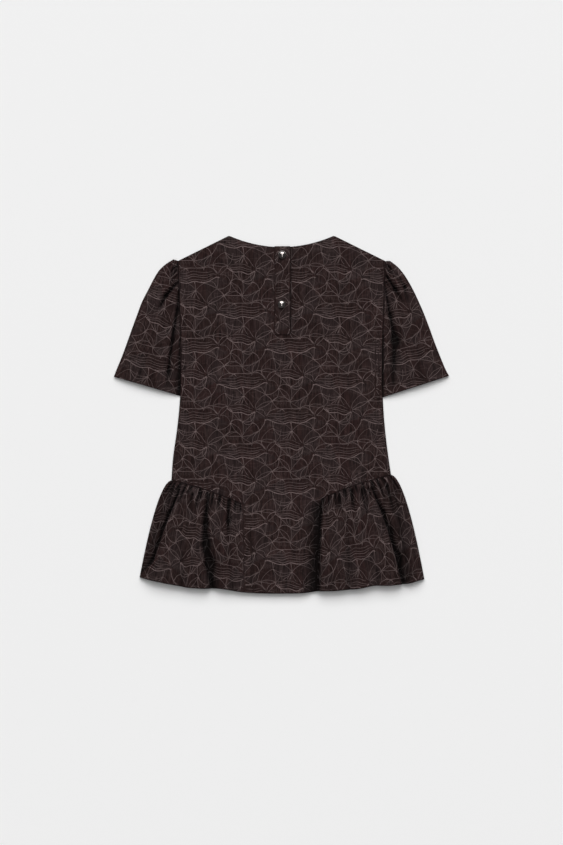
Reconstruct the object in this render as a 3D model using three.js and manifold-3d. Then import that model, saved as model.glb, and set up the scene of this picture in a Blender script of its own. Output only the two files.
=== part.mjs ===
// A short-sleeved peplum top laid flat on its front, so that its buttoned back faces up.
// Millimetres: +X to the right as the back is seen from above, +Y from hem to neck, +Z up off the surface
// that it lies on. The origin is on that surface, under the middle of the garment.
// Left and right are the sides of the garment as its back is seen from above.

import * as THREE from "three";
import { mergeVertices } from "three/addons/utils/BufferGeometryUtils.js";
import Module from "manifold-3d";

// Driving sizes of the cut
const CLOTH = 1.2; // the jacquard with its turned edges
const BAND_CLOTH = 1.0; // one button band
const GAP = 0.3; // between pieces that lie on each other or meet at a straight seam
const CURVE_GAP = 0.45; // at a curved seam, where the chords of both edges come nearer than the curve
const NECK_HALF = 85;
const NECK_TOP = 290;
const BACK_NECK_DROP = 18.6;
const FRONT_NECK_DROP = 86;
const FRONT_NECK_ROUNDING = 0.75; // 1 is a parabola, and 0.5 is half an ellipse
const SHOULDER_HALF = 168;
const SHOULDER_Y = 249;
const HEM_MIDDLE_Y = -290;
const HEM_CURVE = 2.2;
const SIDES = { left: -1, right: 1 };

// Where the gathers end beside the plain middle, and where the waist seam meets the side seam
const WAIST = {
  left: { endHalf: 62, endY: -146, sideY: -107, hemHalf: 60, cornerHalf: 230, cornerRise: 26 },
  right: { endHalf: 64, endY: -137, sideY: -98, hemHalf: 55, cornerHalf: 231, cornerRise: 23 },
};
const SEAM_BOW = 0.35; // how far the waist seam bows up between its ends

// Half width of the bodice at each height, from the shoulder point to the waist seam
const BODY_EDGE = [
  { y: -107, left: 178.5, right: 177.5 },
  { y: -70, left: 175, right: 172 },
  { y: -25, left: 168.5, right: 166.5 },
  { y: 20, left: 164.5, right: 163.5 },
  { y: 64, left: 163.2, right: 163.2 },
  { y: 120, left: 163.4, right: 163.8 },
  { y: 200, left: 165.8, right: 166.2 },
  { y: 249, left: 168, right: 168 },
];

// Heights of the layers over the surface
const BACK_LEVEL = CLOTH + GAP; // underside of the back where it lies on the front
const CROWN = 1.6; // rise of the back over the middle of the front
const CROWN_FADE = 15; // how fast that rise begins below the shoulder seam
const CROWN_FLAT = { from: 25, to: 70 }; // half widths between which the shoulder seam holds the back down
const LOFT = 3; // room that the gathers of the front take under those of the back
const LOFT_START = 0.15;
const LOFT_SIDE = 0.15; // share of a gathered panel's width over which it sinks to the side seam

// The gathered panels of the peplum
const PUFF = 6.5; // height of the gathers over their valleys
const PUFF_START = 0.07; // share of the panel's depth in which they rise from the seam
const FLARE = 0.45; // how much sooner the side edge flares than the inner edge
const PANEL_DEPTH = 150; // about, from the waist seam to the hem
const STRAIGHT_SEAM = 8; // power by which a panel's gap to the plain middle fades across the panel
const INNER_RISE = { left: 0.16, right: 0.06 }; // share of its width over which it rises from the middle
const OUTER_FALL = 0.14; // and over which it falls to the side seam
const GATHERS = 14; // small gathers along each waist seam
const GATHER_WIDTH = 2.5;
const GATHER_DEPTH = 2.4;
const GATHER_LENGTH = 17;
const PANEL_COLUMNS = 52;
const PANEL_ROWS = [0, 0.03, 0.07, 0.12, 0.19, 0.28, 0.4, 0.54, 0.69, 0.84, 1];
const FRONT_WAVES = 5;
const FRONT_FLAT = 0.3; // share of each wave that lies flat on the surface
const FRONT_COLUMNS = 30;
const FRONT_ROWS = [0, 0.08, 0.2, 0.38, 0.58, 0.79, 1];

// Folds, each a soft trough along a line between two points, or a ridge where the depths are negative
const PEPLUM_FOLDS = {
  left: [
    { x0: -164, y0: -118, x1: -208, y1: -239, width0: 4, width1: 7, depth0: 5, depth1: 6.5 },
    { x0: -208, y0: -239, x1: -223, y1: -270, width0: 7, width1: 6, depth0: 6.5, depth1: 5 },
    { x0: -120, y0: -132, x1: -121, y1: -200, width0: 4, width1: 6, depth0: 5, depth1: 7 },
    { x0: -121, y0: -200, x1: -114, y1: -288, width0: 6, width1: 9, depth0: 7, depth1: 6.5 },
    { x0: -85, y0: -138, x1: -88, y1: -182, width0: 3.5, width1: 6, depth0: 5, depth1: 1 },
    { x0: -142, y0: -124, x1: -153, y1: -178, width0: 3.5, width1: 6, depth0: 4, depth1: 0.8 },
    { x0: -158, y0: -228, x1: -163, y1: -284, width0: 8, width1: 10, depth0: 0.5, depth1: 3 },
    { x0: -82, y0: -215, x1: -79, y1: -288, width0: 7, width1: 9, depth0: 0.5, depth1: 2.5 },
  ],
  right: [
    { x0: 65, y0: -140, x1: 58, y1: -194, width0: 4, width1: 6, depth0: 5, depth1: 6.5 },
    { x0: 58, y0: -194, x1: 58, y1: -288, width0: 6, width1: 9, depth0: 6.5, depth1: 6 },
    { x0: 148, y0: -112, x1: 166, y1: -170, width0: 3.5, width1: 5, depth0: 5, depth1: 6.5 },
    { x0: 166, y0: -170, x1: 192, y1: -278, width0: 5, width1: 7, depth0: 6.5, depth1: 6.5 },
    { x0: 169, y0: -104, x1: 185, y1: -182, width0: 3, width1: 6, depth0: 4.5, depth1: 1 },
    { x0: 95, y0: -124, x1: 94, y1: -165, width0: 3.5, width1: 5, depth0: 5, depth1: 1 },
    { x0: 118, y0: -116, x1: 124, y1: -170, width0: 3.5, width1: 6, depth0: 4.5, depth1: 1 },
    { x0: 132, y0: -114, x1: 140, y1: -158, width0: 3, width1: 5, depth0: 4, depth1: 1 },
    { x0: 107, y0: -176, x1: 110, y1: -288, width0: 6, width1: 9, depth0: 1.5, depth1: 3 },
    { x0: 150, y0: -225, x1: 155, y1: -282, width0: 6, width1: 8, depth0: 0.5, depth1: 2 },
  ],
};
const BODICE_FOLDS = [
  { x0: 157, y0: 124, x1: 156, y1: 36, width0: 2.6, width1: 3, depth0: -1.2, depth1: -2.2 },
  { x0: -157.5, y0: 150, x1: -158, y1: 50, width0: 2.4, width1: 2.8, depth0: -0.8, depth1: -1.4 },
];

// Each sleeve: a row for each section, from the shoulder point to the hem. It runs from the armhole at
// height innerY out to the fold at outerHalf, outerY. puff is how far it stands over a flat cloth.
const SLEEVES = {
  left: [
    { innerY: 249.2, outerHalf: 175.5, outerY: 251.5, puff: 0.8 },
    { innerY: 243, outerHalf: 188, outerY: 243.5, puff: 3 },
    { innerY: 233, outerHalf: 198.5, outerY: 233.5, puff: 4.4 },
    { innerY: 219, outerHalf: 207, outerY: 220, puff: 5 },
    { innerY: 201, outerHalf: 216, outerY: 202.5, puff: 5 },
    { innerY: 180, outerHalf: 226.5, outerY: 183, puff: 4.8 },
    { innerY: 157, outerHalf: 235.5, outerY: 162, puff: 4.2 },
    { innerY: 132, outerHalf: 244, outerY: 139, puff: 3.8 },
    { innerY: 106, outerHalf: 252, outerY: 116.5, puff: 3.5 },
    { innerY: 81, outerHalf: 259.5, outerY: 95, puff: 3.2 },
    { innerY: 59, outerHalf: 265.5, outerY: 77.5, puff: 2.9 },
    { innerY: 41, outerHalf: 269.5, outerY: 65.5, puff: 2.7 },
    { innerY: 26.5, outerHalf: 271.8, outerY: 58.5, puff: 2.7 },
  ],
  right: [
    { innerY: 248.6, outerHalf: 176, outerY: 249, puff: 0.8 },
    { innerY: 242, outerHalf: 186, outerY: 241.5, puff: 3 },
    { innerY: 232, outerHalf: 195, outerY: 232, puff: 4.4 },
    { innerY: 218, outerHalf: 204, outerY: 219, puff: 5 },
    { innerY: 200, outerHalf: 213.5, outerY: 202, puff: 5 },
    { innerY: 180, outerHalf: 223, outerY: 182, puff: 4.8 },
    { innerY: 157, outerHalf: 232, outerY: 161, puff: 4.2 },
    { innerY: 132, outerHalf: 240.5, outerY: 138.5, puff: 3.8 },
    { innerY: 106, outerHalf: 250, outerY: 116, puff: 3.5 },
    { innerY: 81, outerHalf: 258.5, outerY: 95, puff: 3.2 },
    { innerY: 59, outerHalf: 265, outerY: 79, puff: 2.9 },
    { innerY: 40, outerHalf: 269.3, outerY: 67.5, puff: 2.7 },
    { innerY: 25.5, outerHalf: 271.8, outerY: 61, puff: 2.7 },
  ],
};
const SLEEVE_FOLDS = {
  left: [
    { x0: -168, y0: 216, x1: -200, y1: 171, width0: 3, width1: 5, depth0: 4.5, depth1: 2.5 },
    { x0: -168, y0: 205, x1: -173, y1: 150, width0: 3, width1: 4, depth0: 3.5, depth1: 4.5 },
    { x0: -173, y0: 150, x1: -184, y1: 45, width0: 4, width1: 7, depth0: 4.5, depth1: 2.5 },
    { x0: -171, y0: 238, x1: -182, y1: 224, width0: 2.2, width1: 3.5, depth0: 3, depth1: 1 },
    { x0: -170, y0: 229, x1: -186, y1: 209, width0: 2.2, width1: 3.5, depth0: 3, depth1: 1 },
    { x0: -214, y0: 150, x1: -228, y1: 80, width0: 8, width1: 10, depth0: 1, depth1: 1.6 },
  ],
  right: [
    { x0: 171, y0: 229, x1: 192, y1: 188, width0: 3, width1: 6, depth0: 4.5, depth1: 2.5 },
    { x0: 169, y0: 204, x1: 176, y1: 153, width0: 3, width1: 5, depth0: 3.5, depth1: 4.5 },
    { x0: 176, y0: 153, x1: 182, y1: 45, width0: 5, width1: 8, depth0: 4.5, depth1: 2.5 },
    { x0: 172, y0: 240, x1: 184, y1: 226, width0: 2.2, width1: 3.5, depth0: 3, depth1: 1 },
    { x0: 170, y0: 216, x1: 184, y1: 204, width0: 2.2, width1: 3, depth0: 2.5, depth1: 1 },
    { x0: 214, y0: 150, x1: 226, y1: 80, width0: 8, width1: 10, depth0: 1, depth1: 1.6 },
  ],
};
const SLEEVE_FOLD_RADIUS = 2.2; // outside of the turned edge of a flattened sleeve
const SLEEVE_TOP_COLUMNS = 16;
const SLEEVE_TURN_COLUMNS = 4;
const SLEEVE_UNDER_COLUMNS = 4;
const PUFF_POWER = 0.6; // under 1 gives a full, flat-topped puff

// The buttoned opening
const BAND = { left: -11.3, right: 14.1, top: 272.6, bottom: 128.8, overlap: 3.2 };
const BAND_COLUMNS = 4;
const BAND_ROWS = 12;
const BUTTONS = [
  { name: "button_upper", x: 1.3, y: 258.5 },
  { name: "button_lower", x: 0.3, y: 178.5 },
];
const BUTTON_RADIUS = 6.6;
const BUTTON_RIM = 1.2; // height of the widest part over the base
const BUTTON_HEIGHT = 5.4;
const BUTTON_FOOT_RADIUS = 5.6;
const SHANK_RADIUS = 1.6;
const BUTTONHOLE = { halfWidth: 2.2, halfLength: 4.5, reach: 20 };

const COLOURS = { cloth: "#3a2f2e", metal: "#4b4238" };

// Interpolation
const mix = (a, b, share) => a + (b - a) * share;
const clamp = (value, low, high) => Math.min(high, Math.max(low, value));
const smoothStep = (low, high, value) => {
  const share = clamp((value - low) / (high - low), 0, 1);
  return share * share * (3 - 2 * share);
};
// Never below 0, and rounded where value passes it
const softFloor = (value, rounding = 0.5) =>
  (value + Math.sqrt(value * value + rounding * rounding)) / 2;

// The value of a named column of a table at a place along another, on a smooth curve through the rows
function along(table, key, place, placeKey) {
  let row = 0;
  while (row < table.length - 2 && place > table[row + 1][placeKey]) row += 1;
  const slope = (index) => {
    const before = table[Math.max(index - 1, 0)];
    const after = table[Math.min(index + 1, table.length - 1)];
    return (after[key] - before[key]) / (after[placeKey] - before[placeKey]);
  };
  const here = table[row];
  const next = table[row + 1];
  const span = next[placeKey] - here[placeKey];
  const share = clamp((place - here[placeKey]) / span, 0, 1);
  const square = share * share;
  const cube = square * share;
  return (
    (2 * cube - 3 * square + 1) * here[key] +
    (cube - 2 * square + share) * span * slope(row) +
    (3 * square - 2 * cube) * next[key] +
    (cube - square) * span * slope(row + 1)
  );
}

// Outline of the garment
const bodyHalf = (side, y) => along(BODY_EDGE, side, Math.max(y, WAIST[side].sideY), "y");

function shoulderY(half) {
  const slope = (NECK_TOP - SHOULDER_Y) / (SHOULDER_HALF - NECK_HALF);
  return NECK_TOP - (half - NECK_HALF) * slope;
}

function backTopY(x) {
  const half = Math.abs(x);
  if (half > NECK_HALF) return shoulderY(half);
  return NECK_TOP - BACK_NECK_DROP * (1 - (half / NECK_HALF) ** 2);
}

function frontTopY(x) {
  const half = Math.abs(x);
  if (half > NECK_HALF) return shoulderY(half);
  return NECK_TOP - FRONT_NECK_DROP * (1 - (half / NECK_HALF) ** 2) ** FRONT_NECK_ROUNDING;
}

// The waist seam from the end of the gathers, at share 0, out to the side seam, at share 1
function waistPoint(side, share) {
  const { endHalf, endY, sideY } = WAIST[side];
  const bowed = share * (1 + SEAM_BOW - SEAM_BOW * share);
  return { half: mix(endHalf, bodyHalf(side, sideY), share), y: mix(endY, sideY, bowed) };
}

function hemY(x) {
  const { cornerHalf, cornerRise } = WAIST[x < 0 ? "left" : "right"];
  return HEM_MIDDLE_Y + cornerRise * (Math.abs(x) / cornerHalf) ** HEM_CURVE;
}

// How deep the folds of a list reach at a point
function foldDepth(folds, x, y) {
  let depth = 0;
  for (const fold of folds) {
    const dx = fold.x1 - fold.x0;
    const dy = fold.y1 - fold.y0;
    const length = Math.hypot(dx, dy);
    const share = ((x - fold.x0) * dx + (y - fold.y0) * dy) / (length * length);
    const held = clamp(share, 0, 1);
    const width = mix(fold.width0, fold.width1, held);
    const away = Math.hypot(x - fold.x0 - held * dx, y - fold.y0 - held * dy);
    const fall = Math.exp(-((away / width) ** 2));
    depth += mix(fold.depth0, fold.depth1, held) * fall;
  }
  return depth;
}

// Small gathers that hang from a waist seam, as folds
function gatherFolds(side) {
  const folds = [];
  for (let index = 0; index < GATHERS; index += 1) {
    const uneven = 0.28 * Math.sin(index * 2.3 + 1);
    const share = (index + 0.5 + uneven) / GATHERS;
    const start = waistPoint(side, share);
    const length = GATHER_LENGTH * (1 + 0.45 * Math.sin(index * 1.7));
    const end = panelPoint(side, share, length / PANEL_DEPTH);
    folds.push({
      x0: SIDES[side] * start.half,
      y0: start.y,
      x1: end.x,
      y1: end.y,
      width0: GATHER_WIDTH,
      width1: GATHER_WIDTH * 1.3,
      depth0: GATHER_DEPTH,
      depth1: GATHER_DEPTH * 0.3,
    });
  }
  return folds;
}

// Plan of a gathered panel: across from the plain middle to the side seam, down from the waist to the hem
function panelPoint(side, across, down) {
  const { hemHalf, cornerHalf } = WAIST[side];
  const start = waistPoint(side, across);
  const hem = mix(hemHalf, cornerHalf, across);
  const flared = down ** (1 - FLARE * across);
  const half = mix(start.half, hem, flared) + GAP * (1 - across) ** STRAIGHT_SEAM;
  const x = SIDES[side] * half;
  return { x, y: mix(start.y - CURVE_GAP, hemY(x), down) };
}

const panelLoft = (across, down) =>
  LOFT * (1 - Math.exp(-down / LOFT_START)) * (1 - smoothStep(1 - LOFT_SIDE, 1, across));

function crown(side, x, y) {
  const half = bodyHalf(side, y);
  const dome = CROWN * (1 - Math.min(1, (x / half) ** 2));
  const nearSeam = Math.exp(-Math.max(0, backTopY(x) - y) / CROWN_FADE);
  return dome * (1 - smoothStep(CROWN_FLAT.from, CROWN_FLAT.to, Math.abs(x)) * nearSeam);
}

// Height of the underside of the back, over the surface
function backLevel(side, x, y) {
  return BACK_LEVEL + crown(side, x, y) - foldDepth(BODICE_FOLDS, x, y);
}

// The same for the gathered panels of the back
function panelLevel(side, across, down, folds) {
  const { x, y } = panelPoint(side, across, down);
  const seam = waistPoint(side, across);
  const rise = 1 - Math.exp(-down / PUFF_START);
  const inner = Math.min(1, across / INNER_RISE[side]);
  const outer = clamp((across - 1 + OUTER_FALL) / OUTER_FALL, 0, 1);
  const edge = Math.sqrt(1 - (1 - inner) ** 2) * Math.sqrt(1 - outer * outer);
  const relief = softFloor(PUFF * rise * edge - foldDepth(folds, x, y) * edge);
  const base = crown(side, SIDES[side] * seam.half, seam.y) * (1 - rise);
  return BACK_LEVEL + base + panelLoft(across, down) + relief;
}

function frontPanelLevel(across, down) {
  const wave = 0.5 - 0.5 * Math.cos(2 * Math.PI * FRONT_WAVES * across);
  const raised = Math.max(0, wave - FRONT_FLAT) / (1 - FRONT_FLAT);
  return panelLoft(across, down) * raised;
}

// A closed wall of cloth: over[row][column] and under[row][column] are its two faces, and cells with no
// cloth are left out
function wall(over, under, hasCloth = () => true) {
  const rows = over.length;
  const columns = over[0].length;
  const positions = [];
  for (const face of [over, under]) for (const row of face) for (const p of row) positions.push(...p);
  const upper = (row, column) => row * columns + column;
  const lower = rows * columns;
  const faces = [];
  const edges = new Map();
  for (let row = 0; row < rows - 1; row += 1) {
    for (let column = 0; column < columns - 1; column += 1) {
      if (!hasCloth(row, column)) continue;
      const corners = [
        upper(row, column),
        upper(row + 1, column),
        upper(row + 1, column + 1),
        upper(row, column + 1),
      ];
      const [a, b, c, d] = corners;
      faces.push([a, b, c], [a, c, d]);
      faces.push([a + lower, c + lower, b + lower], [a + lower, d + lower, c + lower]);
      corners.forEach((from, index) => {
        const to = corners[(index + 1) % 4];
        if (!edges.delete(`${to},${from}`)) edges.set(`${from},${to}`, [from, to]);
      });
    }
  }
  for (const [from, to] of edges.values()) {
    faces.push([to, from, from + lower], [to, from + lower, to + lower]);
  }
  return facingOut(positions, faces);
}

// A geometry from points and triangles, turned round where its faces point in
function facingOut(positions, faces) {
  const at = (index) => new THREE.Vector3().fromArray(positions, index * 3);
  let volume = 0;
  for (const [a, b, c] of faces) volume += at(a).dot(at(b).cross(at(c))) / 6;
  const turned = volume < 0 ? faces.map(([a, b, c]) => [a, c, b]) : faces;
  const geometry = new THREE.BufferGeometry();
  geometry.setAttribute("position", new THREE.Float32BufferAttribute(positions, 3));
  geometry.setIndex(turned.flat());
  return geometry;
}

// A wall of even thickness, measured upwards, over the level of its underside
function liftedWall(points, thickness, hasCloth) {
  const over = points.map((row) => row.map(([x, y, z]) => [x, y, z + thickness]));
  return wall(over, points, hasCloth);
}

// Columns of the bodice. Those of the plain middle keep their x, and the others spread with its edge.
const MIDDLE_X = [-62, -42, -23, -8, 11, 27, 45, 64];
const OUTER_SHARES = [0.42, 0.61, 0.8, 0.91, 1];

function bodiceColumns() {
  const outer = (side) => {
    const { endHalf } = WAIST[side];
    const neck = (NECK_HALF - endHalf) / (SHOULDER_HALF - endHalf);
    return [neck, ...OUTER_SHARES].map((share) => ({ side, share }));
  };
  const middle = MIDDLE_X.map((x) => ({ side: x < 0 ? "left" : "right", x }));
  return [...outer("left").reverse(), ...middle, ...outer("right")];
}

function columnX(column, bodyEdgeHalf) {
  if (column.share === undefined) return column.x;
  return SIDES[column.side] * mix(WAIST[column.side].endHalf, bodyEdgeHalf, column.share);
}

// Front or back: the bodice down to the waist seam, and the plain middle from there to the hem
function bodyPanel({ topY, level, bodiceRows, middleRows, openFrom = null }) {
  const columns = bodiceColumns();
  const isMiddle = (column) => column.share === undefined;
  const points = [];
  const seamRow = bodiceRows.length - 1;
  for (const share of bodiceRows) {
    points.push(
      columns.map((column) => {
        const top = topY(columnX(column, SHOULDER_HALF));
        const left = WAIST.left;
        const right = WAIST.right;
        const acrossMiddle = (column.x + left.endHalf) / (left.endHalf + right.endHalf);
        const seam = isMiddle(column)
          ? mix(left.endY, right.endY, acrossMiddle)
          : waistPoint(column.side, column.share).y;
        const y = mix(top, seam, share);
        const edge = share === 0 ? SHOULDER_HALF : bodyHalf(column.side, y);
        const x = columnX(column, edge);
        return [x, y, level(column.side, x, y, 0)];
      }),
    );
  }
  for (const share of middleRows) {
    points.push(
      columns.map((column, index) => {
        const [startX, startY] = points[seamRow][index];
        const { endHalf, hemHalf } = WAIST[column.side];
        const x = isMiddle(column) ? startX * mix(1, hemHalf / endHalf, share) : startX;
        const y = mix(startY, hemY(x), share);
        return [x, y, level(column.side, x, y, share)];
      }),
    );
  }
  const hasCloth = (row, index) => {
    const inMiddle = isMiddle(columns[index]) && isMiddle(columns[index + 1]);
    if (row >= seamRow) return inMiddle;
    const inOpening = inMiddle && columns[index].x < 0 && columns[index + 1].x > 0;
    return !(inOpening && openFrom !== null && row < openFrom);
  };
  return liftedWall(points, CLOTH, hasCloth);
}

function backBody() {
  const openingBottom = BAND.bottom + BAND.overlap;
  const neckline = backTopY(0);
  const middleSeam = (WAIST.left.endY + WAIST.right.endY) / 2;
  const openingShare = (neckline - openingBottom) / (neckline - middleSeam);
  return bodyPanel({
    topY: backTopY,
    level: (side, x, y, down) => {
      const rise = 1 - Math.exp(-down / PUFF_START);
      return BACK_LEVEL + (backLevel(side, x, y) - BACK_LEVEL) * (1 - rise) + panelLoft(0, down);
    },
    bodiceRows: [0, 0.07, 0.15, 0.24, openingShare, 0.42, 0.52, 0.62, 0.72, 0.82, 0.91, 1],
    middleRows: [0.06, 0.14, 0.25, 0.4, 0.6, 0.8, 1],
    openFrom: 4,
  });
}

const frontBody = () =>
  bodyPanel({
    topY: frontTopY,
    level: () => 0,
    bodiceRows: [0, 0.1, 0.22, 0.34, 0.48, 0.62, 0.75, 0.88, 1],
    middleRows: [0.5, 1],
  });

function gatheredPanel(side, columns, rows, level) {
  const points = rows.map((down) =>
    Array.from({ length: columns + 1 }, (_, index) => {
      const across = index / columns;
      const { x, y } = panelPoint(side, across, down);
      return [x, y, level(across, down)];
    }),
  );
  return liftedWall(points, CLOTH);
}

function backPeplum(side) {
  const folds = [...PEPLUM_FOLDS[side], ...gatherFolds(side)];
  return gatheredPanel(side, PANEL_COLUMNS, PANEL_ROWS, (across, down) =>
    panelLevel(side, across, down, folds),
  );
}

const frontPeplum = (side) => gatheredPanel(side, FRONT_COLUMNS, FRONT_ROWS, frontPanelLevel);

// A sleeve is one wall: over the top from the back of the armhole, round the outer fold and back below to
// the front of the armhole
function sleeve(side) {
  const sign = SIDES[side];
  const over = [];
  const under = [];
  const radius = SLEEVE_FOLD_RADIUS;
  const armholeTop = BACK_LEVEL + CLOTH;
  for (const row of SLEEVES[side]) {
    const innerHalf = bodyHalf(side, row.innerY) + CURVE_GAP;
    const turnHalf = row.outerHalf - radius;
    const plan = (half) => {
      const share = (half - innerHalf) / (row.outerHalf - innerHalf);
      return [sign * half, mix(row.innerY, row.outerY, share)];
    };
    const outside = [];
    const inside = [];
    for (let index = 0; index < SLEEVE_TOP_COLUMNS; index += 1) {
      const share = index / SLEEVE_TOP_COLUMNS;
      const [x, y] = plan(mix(innerHalf, turnHalf, share));
      const bell = Math.max(0, Math.sin(Math.PI * share)) ** PUFF_POWER;
      const relief = softFloor(row.puff * bell - foldDepth(SLEEVE_FOLDS[side], x, y) * bell, 0.3);
      const z = mix(armholeTop, 2 * radius, share) + relief;
      outside.push([x, y, z]);
      inside.push([x, y, z - CLOTH]);
    }
    for (let index = 0; index <= SLEEVE_TURN_COLUMNS; index += 1) {
      const angle = Math.PI * (0.5 - index / SLEEVE_TURN_COLUMNS);
      const turn = (reach) => [
        ...plan(turnHalf + reach * Math.cos(angle)),
        radius + reach * Math.sin(angle),
      ];
      outside.push(turn(radius));
      inside.push(turn(radius - CLOTH));
    }
    for (let index = 1; index <= SLEEVE_UNDER_COLUMNS; index += 1) {
      const [x, y] = plan(mix(turnHalf, innerHalf, index / SLEEVE_UNDER_COLUMNS));
      outside.push([x, y, 0]);
      inside.push([x, y, CLOTH]);
    }
    over.push(outside);
    under.push(inside);
  }
  return wall(over, under);
}

// The over band lies on the back, made from the back's own points moved out
function bandLevel(x, y) {
  const side = x < 0 ? "left" : "right";
  return backLevel(side, x, y) + CLOTH + GAP;
}

function bandGrid(left, right, top, bottom, level) {
  return Array.from({ length: BAND_ROWS + 1 }, (_, row) =>
    Array.from({ length: BAND_COLUMNS + 1 }, (_, column) => {
      const x = mix(left, right, column / BAND_COLUMNS);
      const y = mix(top, bottom, row / BAND_ROWS);
      return [x, y, level(x, y)];
    }),
  );
}

function buttonholeCutter({ x, y }) {
  const { halfWidth, halfLength, reach } = BUTTONHOLE;
  const straight = halfLength - halfWidth;
  const outline = new THREE.Shape();
  outline.absarc(x, y + straight, halfWidth, 0, Math.PI, false);
  outline.absarc(x, y - straight, halfWidth, Math.PI, 2 * Math.PI, false);
  return new THREE.ExtrudeGeometry(outline, { depth: reach, bevelEnabled: false, curveSegments: 6 });
}

const wasm = await Module();
wasm.setup();

function toSolid(geometry) {
  const plain = geometry.clone();
  plain.deleteAttribute("normal");
  plain.deleteAttribute("uv");
  const merged = mergeVertices(plain);
  return new wasm.Manifold(
    new wasm.Mesh({
      numProp: 3,
      vertProperties: merged.attributes.position.array,
      triVerts: new Uint32Array(merged.index.array),
    }),
  );
}

function toGeometry(solid) {
  const { vertProperties, triVerts } = solid.getMesh();
  const geometry = new THREE.BufferGeometry();
  geometry.setAttribute("position", new THREE.BufferAttribute(vertProperties, 3));
  geometry.setIndex(new THREE.BufferAttribute(triVerts, 1));
  return geometry;
}

function overBand() {
  const grid = bandGrid(BAND.left, BAND.right, BAND.top, BAND.bottom, bandLevel);
  const band = toSolid(liftedWall(grid, BAND_CLOTH));
  return toGeometry(
    BUTTONS.reduce((rest, button) => rest.subtract(toSolid(buttonholeCutter(button))), band),
  );
}

function underBand() {
  const { left, right, top, bottom, overlap } = BAND;
  const grid = bandGrid(
    left + overlap / 2,
    right + overlap / 2,
    top - 2 * overlap,
    bottom,
    () => BACK_LEVEL,
  );
  return liftedWall(grid, BAND_CLOTH);
}

// A domed button whose shank reaches through the over band to the under band. Its base is at z = 0.
function buttonGeometry(shankLength) {
  const profile = new THREE.Path();
  profile.moveTo(0, -shankLength);
  profile.lineTo(SHANK_RADIUS, -shankLength);
  profile.lineTo(SHANK_RADIUS, 0);
  profile.lineTo(BUTTON_FOOT_RADIUS, 0);
  profile.quadraticCurveTo(BUTTON_RADIUS, 0, BUTTON_RADIUS, BUTTON_RIM);
  profile.bezierCurveTo(
    BUTTON_RADIUS,
    BUTTON_HEIGHT * 0.72,
    BUTTON_RADIUS * 0.6,
    BUTTON_HEIGHT,
    0,
    BUTTON_HEIGHT,
  );
  const lathe = new THREE.LatheGeometry(profile.getPoints(5), 20);
  return lathe.rotateX(Math.PI / 2);
}

function buttonMesh(button) {
  const base = bandLevel(button.x, button.y) + BAND_CLOTH + GAP;
  const shankFoot = BACK_LEVEL + BAND_CLOTH + GAP;
  const mesh = clothPiece(button.name, buttonGeometry(base - shankFoot), materials.metal);
  mesh.position.set(button.x, button.y, base);
  return mesh;
}

const materials = {
  cloth: new THREE.MeshStandardMaterial({ color: COLOURS.cloth, roughness: 0.85, metalness: 0 }),
  metal: new THREE.MeshStandardMaterial({ color: COLOURS.metal, roughness: 0.18, metalness: 1 }),
};

function clothPiece(name, geometry, material = materials.cloth) {
  geometry.computeVertexNormals();
  const mesh = new THREE.Mesh(geometry, material);
  mesh.name = name;
  return mesh;
}

const bodice = new THREE.Group();
bodice.add(clothPiece("front_body", frontBody()), clothPiece("back_body", backBody()));

const peplum = new THREE.Group();
const sleeves = new THREE.Group();
for (const side of Object.keys(SIDES)) {
  peplum.add(clothPiece(`front_peplum_${side}`, frontPeplum(side)));
  peplum.add(clothPiece(`back_peplum_${side}`, backPeplum(side)));
  sleeves.add(clothPiece(`sleeve_${side}`, sleeve(side)));
}

const closure = new THREE.Group();
closure.add(clothPiece("placket_under", underBand()), clothPiece("placket_over", overBand()));
for (const button of BUTTONS) closure.add(buttonMesh(button));

const peplumTop = new THREE.Group();
peplumTop.add(bodice, peplum, sleeves, closure);

export default peplumTop;
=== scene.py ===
"""A short-sleeved peplum top laid flat with its buttoned back up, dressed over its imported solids.

Sizes in this script are millimetres, and a mesh is turned into metres where it is made. Left and right are
the sides of the garment as its back is seen from above.
"""
import itertools
import math
from functools import partial

import bpy
import numpy as np
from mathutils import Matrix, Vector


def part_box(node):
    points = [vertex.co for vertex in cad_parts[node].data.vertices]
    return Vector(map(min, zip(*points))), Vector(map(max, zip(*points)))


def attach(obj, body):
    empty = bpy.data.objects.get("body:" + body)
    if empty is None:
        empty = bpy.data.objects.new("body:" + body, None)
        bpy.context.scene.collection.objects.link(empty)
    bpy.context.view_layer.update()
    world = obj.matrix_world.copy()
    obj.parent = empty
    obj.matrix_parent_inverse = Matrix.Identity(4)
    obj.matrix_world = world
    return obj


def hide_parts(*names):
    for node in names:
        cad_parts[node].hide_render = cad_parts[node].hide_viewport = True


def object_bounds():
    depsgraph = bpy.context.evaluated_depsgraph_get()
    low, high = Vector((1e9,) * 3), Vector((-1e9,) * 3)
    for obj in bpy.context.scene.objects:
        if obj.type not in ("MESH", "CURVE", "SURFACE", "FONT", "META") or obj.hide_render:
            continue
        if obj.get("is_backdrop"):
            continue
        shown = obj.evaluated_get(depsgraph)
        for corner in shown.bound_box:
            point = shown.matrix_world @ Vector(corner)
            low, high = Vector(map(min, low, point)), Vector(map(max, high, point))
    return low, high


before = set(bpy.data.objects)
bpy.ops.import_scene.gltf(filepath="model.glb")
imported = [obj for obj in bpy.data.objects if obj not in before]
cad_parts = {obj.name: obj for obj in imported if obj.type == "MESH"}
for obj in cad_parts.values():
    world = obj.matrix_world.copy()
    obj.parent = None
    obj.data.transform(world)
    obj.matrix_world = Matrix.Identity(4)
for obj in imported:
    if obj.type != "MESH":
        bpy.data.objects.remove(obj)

CAD_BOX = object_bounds()
MM = 0.001
ROOT = "root"


def table(columns, rows):
    """Rows of numbers as dicts by the names of their columns. A row may leave out the last ones."""
    return [dict(zip(columns.split(), row)) for row in rows]


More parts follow.
